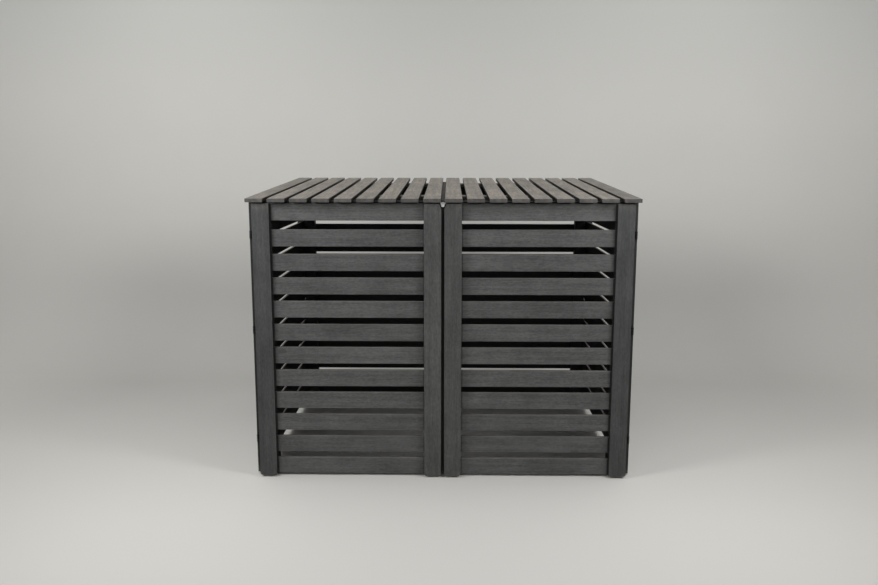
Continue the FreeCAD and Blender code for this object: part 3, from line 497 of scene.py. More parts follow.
@dataclass(frozen=True)
class TimberFinish(Finish):
    """A dark stain on planed softwood, thin enough for the grain to show.

    Attributes:
        name: The material's name.
        light: The stain over early wood.
        dark: The stain over late wood and fibres.
        rubbed: The colour that shows on rubbed edges.
        faded_and_lit: The colour of upward faces, weathered and lightened by painted light.
        bleak: The same colour over late wood and fibres.
        end: The colour of cut ends.
        deep: The colour of painted shade on faces turned from the light or inside the store.
        shade_lines: Lines of painted shade along other boards' edges.
        fading_and_lit: How far upward faces have gone to the faded colour, by weathering and painted light.
        wear: How strongly edges are rubbed.
        dust: How much dust lies on upward faces.
        speck: How densely its specks lie along, across and through a board.
        blur: Half the range of noise over which light stain turns to dark.
        mottle: How far the stain varies in clouds.
        tone_spread: How far one board differs from the next.
        roughness: How matt sound stain is.
        sheen: How strongly it reflects.
        relief: Depth of the grain in metres.
    """

    name: str
    light: Colour
    dark: Colour
    rubbed: Colour
    faded_and_lit: Colour
    bleak: Colour
    end: Colour
    deep: Colour
    shade_lines: tuple[ShadeLine, ...] = ()
    fading_and_lit: float = 0.2
    wear: float = 0.45
    dust: float = 0.2
    speck: tuple[float, float, float] = (70.0, 150.0, 150.0)
    blur: float = 0.12
    mottle: float = 0.22
    tone_spread: float = 0.05
    roughness: float = 0.6
    sheen: float = 0.4
    relief: float = 0.00035

    dust_colour = shown(168, 162, 152)
    figure_shares = {"Fibre": 0.35, "Speck": 0.4, "Band": 0.25}
    ring_cover = 0.05
    ring_light = 0.45
    knot_cover = 0.42
    knot_light = 0.4
    deep_light = 0.7
    shade_line_light = 0.6
    end_cover = 0.9
    end_light = 0.6
    pore_scale = 900.0
    fibre_roughness = (0.07, -0.06)
    edge_roughness = 0.12
    dust_roughness = 0.2
    bump_strength = 0.6

    def surface(self, graph: Graph) -> Socket:
        """Builds the stain in layers, from the sound wood up to the dust.

        Args:
            graph: The material's tree.

        Returns:
            The shader's output.
        """
        position = graph.attribute(GRAIN, "Vector")
        figure = FIGURE.place(graph, Position=position, Speck_Stretch=self.speck)
        dust = DUST.place(graph, Position=position, Amount=self.dust)
        edge = EDGES.place(graph, Edge=graph.attribute(WEAR), Position=position, Amount=self.wear)
        share = 0.0
        for name, weight in self.figure_shares.items():
            share = graph.math("MULTIPLY_ADD", figure[name], weight, share)
        share = graph.span(share, 0.5 - self.blur, 0.5 + self.blur)
        pores = graph.noise(position, self.pore_scale, detail=3.0, roughness=0.6)
        pores = graph.span(pores, *NARROW_MIDDLE)
        stain = graph.blend(share, self.dark, self.light)
        layers = (
            # Upward faces: weathering, and painted light that lightens them.
            (graph.times(dust["Upward"], self.fading_and_lit), graph.blend(share, self.bleak, self.faded_and_lit)),
            (graph.times(figure["Ring"], self.ring_cover), darkened(self.dark, self.ring_light)),
            (graph.times(figure["Knot"], self.knot_cover), darkened(self.dark, self.knot_light)),
            # Painted shade on faces turned from the light or inside the store.
            (graph.attribute(PAINTED_SHADE), graph.blend(share, darkened(self.deep, self.deep_light), self.deep)),
            # Painted shade lines along other boards' edges.
            *self.painted_shade_lines(graph),
            (graph.times(graph.attribute(CUT_END), self.end_cover),
             graph.blend(pores, darkened(self.end, self.end_light), self.end)),
            (edge["Mask"], self.rubbed),
            (dust["Mask"], self.dust_colour),
        )
        for cover, colour in layers:
            stain = graph.blend(cover, stain, colour)
        clouds = graph.span(figure["Cloud"], *WIDE_MIDDLE, 1.0 - self.mottle, 1.0 + self.mottle)
        tone = graph.math("MULTIPLY_ADD", graph.attribute(TONE), self.tone_spread, clouds)
        fibre_rough = [self.roughness + change for change in self.fibre_roughness]
        rough = graph.span(figure["Fibre"], *MIDDLE, *fibre_rough)
        rough = graph.math("MULTIPLY_ADD", edge["Mask"], self.edge_roughness, rough)
        return graph.add("BsdfPrincipled", {
            "Base Color": graph.add("VectorMath", {0: stain, "Scale": tone}, operation="SCALE").outputs[0],
            "Roughness": graph.math("MULTIPLY_ADD", dust["Mask"], self.dust_roughness, rough, clamp=True),
            "Specular IOR Level": self.sheen,
            "Normal": graph.bump(figure["Height"], self.bump_strength, self.relief),
        }).outputs["BSDF"]

    def painted_shade_lines(self, graph: Graph) -> list[tuple[Socket, Colour]]:
        """The layers of painted shade along other boards' edges.

        Args:
            graph: The material's tree.

        Returns:
            The cover and the colour of each.
        """
        sideways = graph.math("ABSOLUTE", graph.parts(graph.coordinate("Object"))["X"])
        layers = []
        for shade_line in self.shade_lines:
            away = graph.math("ABSOLUTE", graph.math("SUBTRACT", sideways, shade_line.line))
            cover = graph.span(away, shade_line.reach, shade_line.reach * shade_line.core, 0.0, shade_line.share, smooth=True)
            layers.append((cover, darkened(self.deep, self.shade_line_light)))
        return layers


@dataclass(frozen=True)
class MetalFinish(Finish):
    """Coated or plated sheet metal.

    Attributes:
        name: The material's name.
        coat: The colour of the coating.
        patch: The colour of its cloudier places.
        bare: The colour of rubbed edges.
        metallic: How metallic the coating is.
        roughness: Its sheen.
        wear: How strongly its edges are rubbed.
        grit: Depth of its fine texture in metres.
    """

    name: str
    coat: Colour
    patch: Colour
    bare: Colour
    metallic: float
    roughness: float
    wear: float
    grit: float = 0.00004

    cloud_roughness = (-0.06, 0.08)
    bump_strength = 0.5

    def surface(self, graph: Graph) -> Socket:
        """Builds the coat with its clouds, rubbed edges and grit.

        Args:
            graph: The material's tree.

        Returns:
            The shader's output.
        """
        metal = RUBBED.place(graph, Position=graph.coordinate("Object"), Amount=self.wear)
        coat = graph.blend(graph.span(metal["Cloud"], *NARROW_MIDDLE), self.coat, self.patch)
        cloud_rough = [self.roughness + change for change in self.cloud_roughness]
        return graph.add("BsdfPrincipled", {
            "Base Color": graph.blend(metal["Edge"], coat, self.bare),
            "Metallic": graph.span(metal["Edge"], 0.0, 1.0, self.metallic, 1.0),
            "Roughness": graph.span(metal["Cloud"], *MIDDLE, *cloud_rough),
            "Normal": graph.bump(metal["Grit"], self.bump_strength, self.grit),
        }).outputs["BSDF"]


# Painted shade lines: dark lines on the slats beside the stiles, and on the centre rail beside the gap
# between the lids.
STILE_SHADE_LINES = (ShadeLine(0.673, 0.007, 0.95), ShadeLine(0.074, 0.007, 0.45))
LID_GAP_SHADE_LINES = (ShadeLine(0.010, 0.0065, 1.0),)
ANTHRACITE = {
    "rubbed": shown(132, 128, 122),
    # Upward faces, weathered and lightened by painted light.
    "faded_and_lit": shown(112, 108, 102),
    "bleak": shown(101, 98, 92),
    "end": shown(66, 66, 65),
    # The colour of painted shade.
    "deep": grey(38),
}
DOOR_SLAT_STAIN = TimberFinish(
    "door_slat_stain", light=grey(97), dark=grey(67), shade_lines=STILE_SHADE_LINES, **ANTHRACITE)
# The top slat is stained lighter as painted light, making up for the shade under the lids' overhang.
TOP_SLAT_PAINTED_LIGHT = TimberFinish(
    "top_slat_stain", light=grey(103), dark=grey(72), shade_lines=STILE_SHADE_LINES, **ANTHRACITE)
STILE_STAIN = TimberFinish(
    "stile_stain", light=shown(89, 90, 89), dark=shown(63, 64, 63), **ANTHRACITE)
OUTER_STAIN = TimberFinish(
    "outer_stile_stain", light=shown(76, 77, 77), dark=shown(54, 55, 55), **ANTHRACITE)
CARCASE_STAIN = TimberFinish("carcase_stain", light=grey(90), dark=grey(62), **ANTHRACITE)
RAIL_STAIN = TimberFinish("centre_rail_stain", light=grey(90), dark=grey(62), shade_lines=LID_GAP_SHADE_LINES, **ANTHRACITE)
# The lid's upward faces are weathered and much lightened by painted light, and the sides of its boards take
# a very dark painted shade.
LID_STAIN = TimberFinish(
    "lid_stain", light=shown(100, 98, 95), dark=shown(76, 74, 72),
    rubbed=shown(150, 143, 134), faded_and_lit=shown(152, 139, 125),
    bleak=shown(88, 87, 85), end=shown(72, 72, 73), deep=grey(26),
    fading_and_lit=0.94, wear=0.3, dust=0.22, speck=(13.0, 95.0, 95.0), blur=0.07, mottle=0.34, roughness=0.42,
    sheen=0.55)
HINGE_BLACK = MetalFinish(
    "hinge_black", coat=shown(26, 26, 27), patch=shown(34, 34, 35),
    bare=shown(120, 118, 114), metallic=0.2, roughness=0.42, wear=0.45)
BRIGHT_ZINC = MetalFinish(
    "bright_zinc", coat=shown(214, 214, 210), patch=shown(192, 193, 192),
    bare=shown(230, 230, 228), metallic=0.75, roughness=0.34, wear=0.3)
# Near white and barely metallic: a painted glint that stands in for bright metal's reflection.
TONGUE_PAINTED_GLINT = MetalFinish(
    "polished_tongue", coat=shown(246, 246, 242), patch=shown(226, 227, 226),
    bare=shown(250, 250, 248), metallic=0.1, roughness=0.3, wear=0.3)
DULL_PLATE = MetalFinish(
    "dull_plate", coat=shown(66, 66, 65), patch=grey(54),
    bare=shown(140, 140, 136), metallic=0.2, roughness=0.5, wear=0.4)
SCREW_STEEL = MetalFinish(
    "screw_steel", coat=shown(74, 74, 75), patch=shown(96, 96, 97),
    bare=shown(160, 160, 158), metallic=0.8, roughness=0.38, wear=0.5)


LID_SLOPE = math.radians(2.424)
SLOPE_NORMAL = Vector((0.0, -math.sin(LID_SLOPE), math.cos(LID_SLOPE)))


class Slot(Enum):
    """The record's material slots."""

    BOARDS = "boards"
    LID_BOARDS = "lid_boards"
    HINGES = "hinge_metal"
    CATCH = "catch_metal"
    SCREWS = "screws"


class Axis(Enum):
    """The ways a board's grain or its width can run."""

    ACROSS = Vector((1.0, 0.0, 0.0))
    UP = Vector((0.0, 0.0, 1.0))
    DEPTH = Vector((0.0, 1.0, 0.0))
    LID = Vector((0.0, math.cos(LID_SLOPE), math.sin(LID_SLOPE)))


def box_of(points: Iterable[Vector]) -> tuple[Vector, Vector]:
    """The lowest and the highest corner of the box round some points."""
    rows = list(zip(*points))
    return Vector(min(row) for row in rows), Vector(max(row) for row in rows)


def as_mesh(shape: Shape, name: str) -> bpy.types.Mesh:
    """Writes a shape to a new mesh and frees it.

    Args:
        shape: The finished shape.
        name: The mesh's name.

    Returns:
        The mesh.
    """
    mesh = bpy.data.meshes.new(name)
    shape.to_mesh(mesh)
    shape.free()
    return mesh


def gathered(name: str, meshes: Iterable[bpy.types.Mesh]) -> bpy.types.Mesh:
    """Joins meshes that are already in place and drops the loose ones.

    Args:
        name: The joined mesh's name.
        meshes: The meshes to join.

    Returns:
        The joined mesh.
    """
    whole = bmesh.new()
    for mesh in meshes:
        whole.from_mesh(mesh)
        bpy.data.meshes.remove(mesh)
    return as_mesh(whole, name)


def placed(mesh: bpy.types.Mesh, *finishes: Finish) -> bpy.types.Object:
    """Puts a mesh into the scene at the origin, under its own name.

    Args:
        mesh: The mesh, with its corners already in place.
        finishes: The finishes of its material slots in order.

    Returns:
        The piece.
    """
    piece = bpy.data.objects.new(mesh.name, mesh)
    bpy.context.scene.collection.objects.link(piece)
    for finish in finishes:
        mesh.materials.append(finish.material())
    return piece


def stand_in(piece: bpy.types.Object, node: str, body: str) -> None:
    """Lets a piece take a node's place.

    Args:
        piece: The piece.
        node: The node that it stands for.
        body: The body that it rides on.
    """
    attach(piece, body)
    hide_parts(node)


def of_kind(items: Iterable[object], kind: type) -> list:
    """The corners, edges or faces among what an operator gave."""
    return [item for item in items if isinstance(item, kind)]


def bevel(shape: Shape, edges: Iterable[Edge], radius: float, steps: int) -> None:
    """Rounds edges of a shape by a radius, with a number of faces across."""
    bmesh.ops.bevel(shape, geom=list(edges), offset=radius, offset_type="OFFSET", affect="EDGES",
                    segments=steps, profile=0.5, material=-1, clamp_overlap=True)


def solids_of(node: bpy.types.Object) -> list[list[Vector]]:
    """The corners of each separate solid in a node's mesh.

    Args:
        node: The node's object, whose mesh is loose triangles.

    Returns:
        One list of corners for each solid, in the order of the mesh.
    """
    merged = bmesh.new()
    merged.from_mesh(node.data)
    bmesh.ops.remove_doubles(merged, verts=merged.verts, dist=TOUCH)
    seen: set[Corner] = set()
    solids = []
    for start in merged.verts:
        if start in seen:
            continue
        seen.add(start)
        waiting = [start]
        members = []
        while waiting:
            corner = waiting.pop()
            members.append(corner.co.copy())
            for edge in corner.link_edges:
                other = edge.other_vert(corner)
                if other not in seen:
                    seen.add(other)
                    waiting.append(other)
        solids.append(members)
    merged.free()
    return solids


@dataclass(frozen=True)
class Cut:
    """A saw cut: what lies on the side its normal points to falls away."""

    point: Vector
    normal: Vector


Cutter = Callable[[Vector, Vector], tuple[Cut, ...]]


@dataclass
class Plank:
    """One board, with its own frame: x along its grain, y across its width, z through it.

    Attributes:
        centre: The middle of the board.
        frame: Its three directions, as the columns of a turn.
        size: Its length, width and thickness.
        shelter: How much painted shade a face gets, from 0 to 1, by its middle and the way that it looks.
        cuts: Its saw cuts.
        rounding: Radius of its long edges.
        seed: What its grain and tone are drawn from.
        easing: How far its sawn ends are eased.
        waver: How far its faces dip below true.
        station: Distance between the places where it may waver.
    """

    centre: Vector
    frame: Matrix
    size: Vector
    shelter: PaintedShadeRule
    cuts: tuple[Cut, ...]
    rounding: float
    seed: str
    easing: float = 0.0006
    waver: float = 0.00035
    station: float = 0.075

    long_steps = 4
    end_steps = 2
    along_least = 0.9
    end_least = 0.6
    heart_run = 40.0
    heart_aside = 0.09
    heart_under = (0.025, 0.11)
    width_waves = 4.0
    depth_waves = 3.0
    depth_row = 7.0
    phase_run = 100.0

    @classmethod
    def around(cls, corners: Iterable[Vector], along: Vector, across: Vector, **details: object) -> "Plank":
        """A board that fills the room of a solid.

        Args:
            corners: The solid's corners.
            along: The direction of its grain.
            across: The direction of its width.
            details: Other fields of the board.

        Returns:
            The board.
        """
        through = along.cross(across).normalized()
        frame = Matrix((along, across, through)).transposed()
        low, high = box_of(frame.transposed() @ corner for corner in corners)
        return cls(frame @ ((low + high) / 2), frame, high - low, **details)

    def place(self) -> Matrix:
        """The board's frame and middle as one transform."""
        return Matrix.Translation(self.centre) @ self.frame.to_4x4()

    def is_end(self, face: Face) -> bool:
        """Whether a face is an end of the board."""
        return abs(face.normal.x) > self.end_least

    def runs_along(self, edge: Edge) -> bool:
        """Whether an edge runs along the grain, or nearly."""
        return abs((edge.verts[1].co - edge.verts[0].co).normalized().x) > self.along_least

    def mesh(self, board: Shape) -> None:
        """Saws, rounds and eases the board.

        Args:
            board: The empty shape that the board is built in, in its own frame.
        """
        bmesh.ops.create_cube(board, size=1.0)
        bmesh.ops.scale(board, verts=board.verts, vec=self.size)
        self.saw(board)
        bevel(board, filter(self.runs_along, board.edges), self.rounding, self.long_steps)
        rims = dict.fromkeys(edge for face in filter(self.is_end, board.faces) for edge in face.edges)
        bevel(board, rims, self.easing, self.end_steps)
        stations = max(1, round(self.size.x / self.station))
        for step in range(1, stations):
            at = self.size.x * (step / stations - 0.5)
            bmesh.ops.bisect_plane(board, geom=[*board.verts, *board.edges, *board.faces], dist=TOUCH,
                                   plane_co=(at, 0.0, 0.0), plane_no=(1.0, 0.0, 0.0))

    def saw(self, board: Shape) -> None:
        """Makes the board's saw cuts and closes each with a face.

        Args:
            board: The squared board in its own frame.
        """
        back = self.place().inverted()
        for cut in self.cuts:
            cleft = bmesh.ops.bisect_plane(
                board, geom=[*board.verts, *board.edges, *board.faces], dist=TOUCH,
                plane_co=back @ cut.point, plane_no=self.frame.transposed() @ cut.normal, clear_outer=True)
            rim = of_kind(cleft["geom_cut"], Edge)
            if rim:
                bmesh.ops.edgeloop_fill(board, edges=rim)
        bmesh.ops.recalc_face_normals(board, faces=board.faces)

    def dress(self, board: Shape) -> None:
        """Gives the board its waver and writes what its material reads.

        Args:
            board: The finished board in its own frame.
        """
        chance = random.Random(self.seed)
        grain = board.verts.layers.float_vector.new(GRAIN)
        tone = board.verts.layers.float.new(TONE)
        wear = board.verts.layers.float.new(WEAR)
        cut_end = board.faces.layers.float.new(CUT_END)
        shelter = board.faces.layers.float.new(PAINTED_SHADE)
        heart = Vector((chance.uniform(0.0, self.heart_run),
                        chance.uniform(-self.heart_aside, self.heart_aside),
                        chance.uniform(*self.heart_under)))
        shade = chance.uniform(-1.0, 1.0)
        phase = chance.uniform(0.0, self.phase_run)
        half = self.size / 2
        for face in board.faces:
            face[cut_end] = float(self.is_end(face))
            spot = self.place() @ face.calc_center_median()
            # Painted shade, by the face's middle and the way that it looks.
            face[shelter] = min(1.0, max(0.0, self.shelter(spot, self.frame @ face.normal)))
            face.smooth = face.calc_area() < self.station * self.rounding
        for corner in board.verts:
            inset = sorted(half[axis] - abs(corner.co[axis]) for axis in range(3))
            corner[wear] = max(0.0, 1.0 - inset[1] / self.rounding)
            corner[grain] = corner.co + heart
            corner[tone] = shade
        for corner in board.verts:
            dip_width = 0.5 + 0.5 * noise.noise(Vector((corner.co.x * self.width_waves, phase, 0.0)))
            dip_depth = 0.5 + 0.5 * noise.noise(
                Vector((corner.co.x * self.depth_waves, phase, self.depth_row)))
            corner.co.y *= 1.0 - self.waver * dip_width / self.size.y
            corner.co.z *= 1.0 - self.waver * dip_depth / self.size.z

    def build(self) -> bpy.types.Mesh:
        """Makes the finished board.

        Returns:
            Its mesh, in its place.
        """
        board = bmesh.new()
        self.mesh(board)
        self.dress(board)
        bmesh.ops.transform(board, matrix=self.place(), verts=board.verts)
        return as_mesh(board, "plank")


def uncut(low: Vector, high: Vector) -> tuple[Cut, ...]:
    """No saw cuts beyond the board's square ends."""
    return ()


def sloped_top(low: Vector, high: Vector) -> tuple[Cut, ...]:
    """The cut that lets a board's top follow the lids, through its highest rear corner."""
    return (Cut(Vector((0.0, high.y, high.z)), SLOPE_NORMAL),)


def plumb_ends(low: Vector, high: Vector) -> tuple[Cut, ...]:
    """The upright cuts at both ends of the sloping centre rail."""
    return (Cut(low, -Axis.DEPTH.value), Cut(high, Axis.DEPTH.value))


@dataclass
class Timber:
    """The boards of one node, made anew and dressed as one piece.

    Attributes:
        node: The node that the piece stands for.
        body: The body that it rides on.
        finish: Its stain.
        along: The direction of the grain.
        across: The direction of the boards' width.
        shelter: How much painted shade a face gets, by its middle and the way that it looks.
        cutter: What saw cuts a board has, by the lowest and highest corner of its box.
        slot: The record's material slot; not used.
        rounding: Radius of the boards' long edges.
    """

    node: str
    body: str
    finish: TimberFinish
    along: Axis
    across: Axis
    shelter: PaintedShadeRule
    cutter: Cutter = uncut
    slot: Slot = Slot.BOARDS
    rounding: float = 0.002

    def make(self, nodes: Nodes) -> None:
        """Builds the piece, dresses it and puts it in the node's place.

        Args:
            nodes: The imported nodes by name.
        """
        meshes = []
        for place, corners in enumerate(solids_of(nodes[self.node])):
            plank = Plank.around(corners, self.along.value, self.across.value, shelter=self.shelter,
                                 cuts=self.cutter(*box_of(corners)), rounding=self.rounding,
                                 seed=f"{self.node} {place}")
            meshes.append(plank.build())
        piece = placed(gathered(f"{self.node}_timber", meshes), self.finish)
        stand_in(piece, self.node, self.body)
        LOG.info("%s: %d boards", piece.name, len(meshes))


@dataclass
class ScrewHead:
    """A countersunk head with a cross recess, made from one small grid of faces.

    Attributes:
        radius: Radius of the head.
        crown: How far its middle stands above its rim.
        recess: Half the reach of the cross.
        depth: Depth of the cross.
        sink: How deep its skirt goes.
        arm: Half the width of the cross, as a share of its reach.
        floor: Size of the cross at its floor, as a share of that at its mouth.
    """

    radius: float
    crown: float
    recess: float
    depth: float
    sink: float = 0.0008
    arm: float = 0.34
    floor: float = 0.8

    cells = 5
    near_middle = 0.1
    near_rim = 0.95

    def mesh(self) -> bpy.types.Mesh:
        """Makes the head.

        Returns:
            Its mesh, with its rim at the origin, looking up z.
        """
        head = bmesh.new()
        bmesh.ops.create_grid(head, x_segments=self.cells, y_segments=self.cells, size=1.0)
        reach = self.recess / self.radius
        lines = (-1.0, -reach, -reach * self.arm, reach * self.arm, reach, 1.0)
        for corner in head.verts:
            spot = Vector([lines[round((value + 1.0) / 2 * self.cells)] for value in corner.co[:2]])
            out = max(abs(spot.x), abs(spot.y))
            flat = spot if out < 1.0 else spot.normalized()
            corner.co = (*(flat * self.radius), self.crown * (1.0 - out ** 2))
        mouth = [face for face in head.faces if self.in_cross(face)]
        sunk = bmesh.ops.extrude_face_region(head, geom=mouth)
        floor = of_kind(sunk["geom"], Corner)
        bmesh.ops.translate(head, verts=floor, vec=(0.0, 0.0, -self.depth))
        bmesh.ops.scale(head, verts=floor, vec=(self.floor, self.floor, 1.0))
        bmesh.ops.delete(head, geom=mouth, context="FACES")
        rim = [edge for edge in head.edges if edge.is_boundary and
               all(corner.co.to_2d().length > self.radius * self.near_rim for corner in edge.verts)]
        skirt = bmesh.ops.extrude_edge_only(head, edges=rim)["geom"]
        bmesh.ops.translate(head, verts=of_kind(skirt, Corner), vec=(0.0, 0.0, -self.sink))
        bmesh.ops.contextual_create(head, geom=of_kind(skirt, Edge))
        bmesh.ops.recalc_face_normals(head, faces=head.faces)
        return as_mesh(head, "screw_head")

    def in_cross(self, face: Face) -> bool:
        """Whether a face lies in the mouth of the cross."""
        near, far = sorted(map(abs, face.calc_center_median().xy))
        return near < self.recess * self.near_middle and far < self.recess


@dataclass
class Screws:
    """All the screws of one node, as heads in their places.

    Attributes:
        node: The node that the piece stands for.
        body: The body that it rides on.
        wood_head: The head of the screws in boards.
        plate_head: The head of the screws in hinges and plates.
        parting: Radius that tells the two apart.
        head_share: Share of the head's radius that the shank never reaches.
    """

    node: str
    body: str
    wood_head: ScrewHead
    plate_head: ScrewHead
    parting: float = 0.0034
    head_share: float = 0.78

    def make(self, nodes: Nodes) -> None:
        """Puts a head at the place of each screw of the node.

        Args:
            nodes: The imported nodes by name.
        """
        patterns = {True: self.wood_head.mesh(), False: self.plate_head.mesh()}
        whole = bmesh.new()
        screws = solids_of(nodes[self.node])
        for place, corners in enumerate(screws):
            spot, outward, radius = self.read(corners)
            turn = Matrix.Rotation(random.Random(f"{self.node} {place}").uniform(0.0, math.pi), 4, "Z")
            seat = Matrix.Translation(spot) @ outward.to_track_quat("Z", "Y").to_matrix().to_4x4() @ turn
            before = len(whole.verts)
            whole.from_mesh(patterns[radius > self.parting])
            whole.verts.ensure_lookup_table()
            bmesh.ops.transform(whole, matrix=seat, verts=whole.verts[before:])
        for pattern in patterns.values():
            bpy.data.meshes.remove(pattern)
        piece = placed(as_mesh(whole, f"{self.node}_heads"), SCREW_STEEL)
        stand_in(piece, self.node, self.body)
        LOG.info("%s: %d screws", piece.name, len(screws))

    def read(self, corners: Sequence[Vector]) -> tuple[Vector, Vector, float]:
        """Finds a screw's head from its corners.

        Args:
            corners: The corners of the screw's solid.

        Returns:
            The middle of the head, the way it looks, and its radius.
        """
        low, high = box_of(corners)
        size = high - low
        length_axis = max(range(3), key=lambda axis: size[axis])
        middle = (low + high) / 2

        def reach(corner: Vector) -> float:
            """Distance from the screw's middle line."""
            away = corner - middle
            away[length_axis] = 0.0
            return away.length

        shank = self.head_share * max(map(reach, corners))
        head = [corner for corner in corners if reach(corner) > shank]
        rest = [corner for corner in corners if reach(corner) <= shank]
        spot = sum(head, Vector()) / len(head)
        outward = (spot - sum(rest, Vector()) / len(rest)).normalized()
        return spot, outward, sum((corner - spot).length for corner in head) / len(head)


class Side(Enum):
    """The two halves of the store, by the sign of x."""

    LEFT = -1
    RIGHT = 1

    def named(self, part: str) -> str:
        """A part's name on this side."""
        return f"{self.name.lower()}_{part}"


# Where painted shade falls: on faces turned from the light, inside the store and on the sides of the lids'
# boards.
CENTRE_REACH = 0.1
REAR_FROM = 0.3
LID_EDGE = 0.69
LID_EDGE_DARKENING = 0.3
CARCASE_SHADE = 1.6
LID_SHADE = 1.5
TURN_TO_LIGHT = 2.2


def inside_store(spot: Vector, normal: Vector) -> float:
    """Painted shade where a face of the carcase looks into the store or lies behind the doors.

    Args:
        spot: The middle of the face.
        normal: The way that it looks.

    Returns:
        How sheltered it is.
    """
    inward = -math.copysign(1.0, spot.x) * normal.x if abs(spot.x) > CENTRE_REACH else abs(normal.x)
    from_rear = -normal.y if spot.y > REAR_FROM else abs(normal.y)
    return max(inward, from_rear, -normal.z)


def behind_doors(spot: Vector, normal: Vector) -> float:
    """Painted shade on the back of a door's slats."""
    return normal.y


def beside_front(spot: Vector, normal: Vector) -> float:
    """Painted shade everywhere but on the face towards the front, or on top."""
    return CARCASE_SHADE - TURN_TO_LIGHT * max(-normal.y, normal.z)


def outward_face(spot: Vector, normal: Vector) -> float:
    """Painted shade everywhere but on the face that looks out at a side of the store."""
    return CARCASE_SHADE - TURN_TO_LIGHT * math.copysign(1.0, spot.x) * normal.x


def lid_painted_shade(spot: Vector, normal: Vector) -> float:
    """Painted shade everywhere but on the upper face of a lid's board and its ends, and the outermost
    boards darker by a share of the same colour.
    """
    outermost = LID_EDGE_DARKENING if abs(spot.x) > LID_EDGE else 0.0
    return max(outermost, LID_SHADE - TURN_TO_LIGHT * max(normal.z, abs(normal.y)))


@dataclass
class Carcase:
    """The frame that stands still: posts, rails, sides and rear.

    Attributes:
        body: The body that it is.
        thin_rounding: Radius of the thin boards' edges.
        level_height: Greatest height of a level side board.
    """

    body: str = "frame"
    thin_rounding: float = 0.0018
    level_height: float = 0.12

    def make(self, nodes: Nodes) -> None:
        """Builds the posts, rails, sides and rear of the frame.

        Args:
            nodes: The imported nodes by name.
        """
        posts = ["centre_front_post", "centre_rear_post"]
        posts += [side.named(post) for side in Side for post in ("front_post", "rear_post")]
        for post in posts:
            Timber(post, self.body, CARCASE_STAIN, Axis.UP, Axis.ACROSS, inside_store).make(nodes)
        for rail in ("front_top_rail", "rear_top_rail"):
            Timber(rail, self.body, CARCASE_STAIN, Axis.ACROSS, Axis.DEPTH, inside_store).make(nodes)
        Timber("centre_top_rail", self.body, RAIL_STAIN, Axis.LID, Axis.ACROSS, inside_store,
               plumb_ends).make(nodes)
        for side in Side:
            Timber(side.named("side_boards"), self.body, CARCASE_STAIN, Axis.DEPTH, Axis.UP, inside_store,
                   self.side_board_top, rounding=self.thin_rounding).make(nodes)
            Timber(side.named("side_stiles"), self.body, STILE_STAIN, Axis.UP, Axis.DEPTH, outward_face,
                   sloped_top).make(nodes)
        Timber("rear_boards", self.body, CARCASE_STAIN, Axis.ACROSS, Axis.UP, inside_store,
               rounding=self.thin_rounding).make(nodes)

    def side_board_top(self, low: Vector, high: Vector) -> tuple[Cut, ...]:
        """The sloping cut of a side's top board, and none for the level ones."""
        return sloped_top(low, high) if high.z - low.z > self.level_height else ()


@dataclass
class Door:
    """One door: two stiles in front of twelve slats.

    Attributes:
        side: Which half of the store it closes.
        slat_count: How many slats it has.
        foot_chamfer: The cut corners at the stiles' feet.
        cut_width: The meeting stile's cut top corner, across.
        cut_height: The same cut, down.
    """

    side: Side
    slat_count: int = 12
    foot_chamfer: float = 0.005
    cut_width: float = 0.0075
    cut_height: float = 0.020

    def make(self, nodes: Nodes) -> None:
        """Builds the door's boards.

        Args:
            nodes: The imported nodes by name.
        """
        body = self.side.named("door")
        Timber(self.side.named("door_outer_stile"), body, OUTER_STAIN, Axis.UP, Axis.ACROSS, beside_front,
               self.foot_cuts).make(nodes)
        Timber(self.side.named("door_meeting_stile"), body, STILE_STAIN, Axis.UP, Axis.ACROSS, beside_front,
               self.meeting_cuts).make(nodes)
        for place in range(1, self.slat_count + 1):
            # The top slat gets the lighter stain that is painted light against the lid's shade.
            finish = TOP_SLAT_PAINTED_LIGHT if place == 1 else DOOR_SLAT_STAIN
            Timber(self.side.named(f"door_slat_{place:02d}"), body, finish, Axis.ACROSS, Axis.UP,
                   behind_doors).make(nodes)

    def foot_cuts(self, low: Vector, high: Vector) -> tuple[Cut, ...]:
        """The two small corner cuts at a stile's foot."""
        points = ((low.x + self.foot_chamfer, -1.0), (high.x - self.foot_chamfer, 1.0))
        return tuple(Cut(Vector((place, 0.0, low.z)), Vector((way, 0.0, -1.0)).normalized())
                     for place, way in points)

    def meeting_cuts(self, low: Vector, high: Vector) -> tuple[Cut, ...]:
        """The foot cuts, and the cut top corner towards the other door.

        Args:
            low: The lowest corner of the stile's box.
            high: Its highest corner.

        Returns:
            The three cuts.
        """
        towards = -self.side.value
        edge = high.x if towards > 0 else low.x
        point = Vector((edge, 0.0, high.z - self.cut_height))
        normal = Vector((towards * self.cut_height, 0.0, self.cut_width)).normalized()
        return (*self.foot_cuts(low, high), Cut(point, normal))


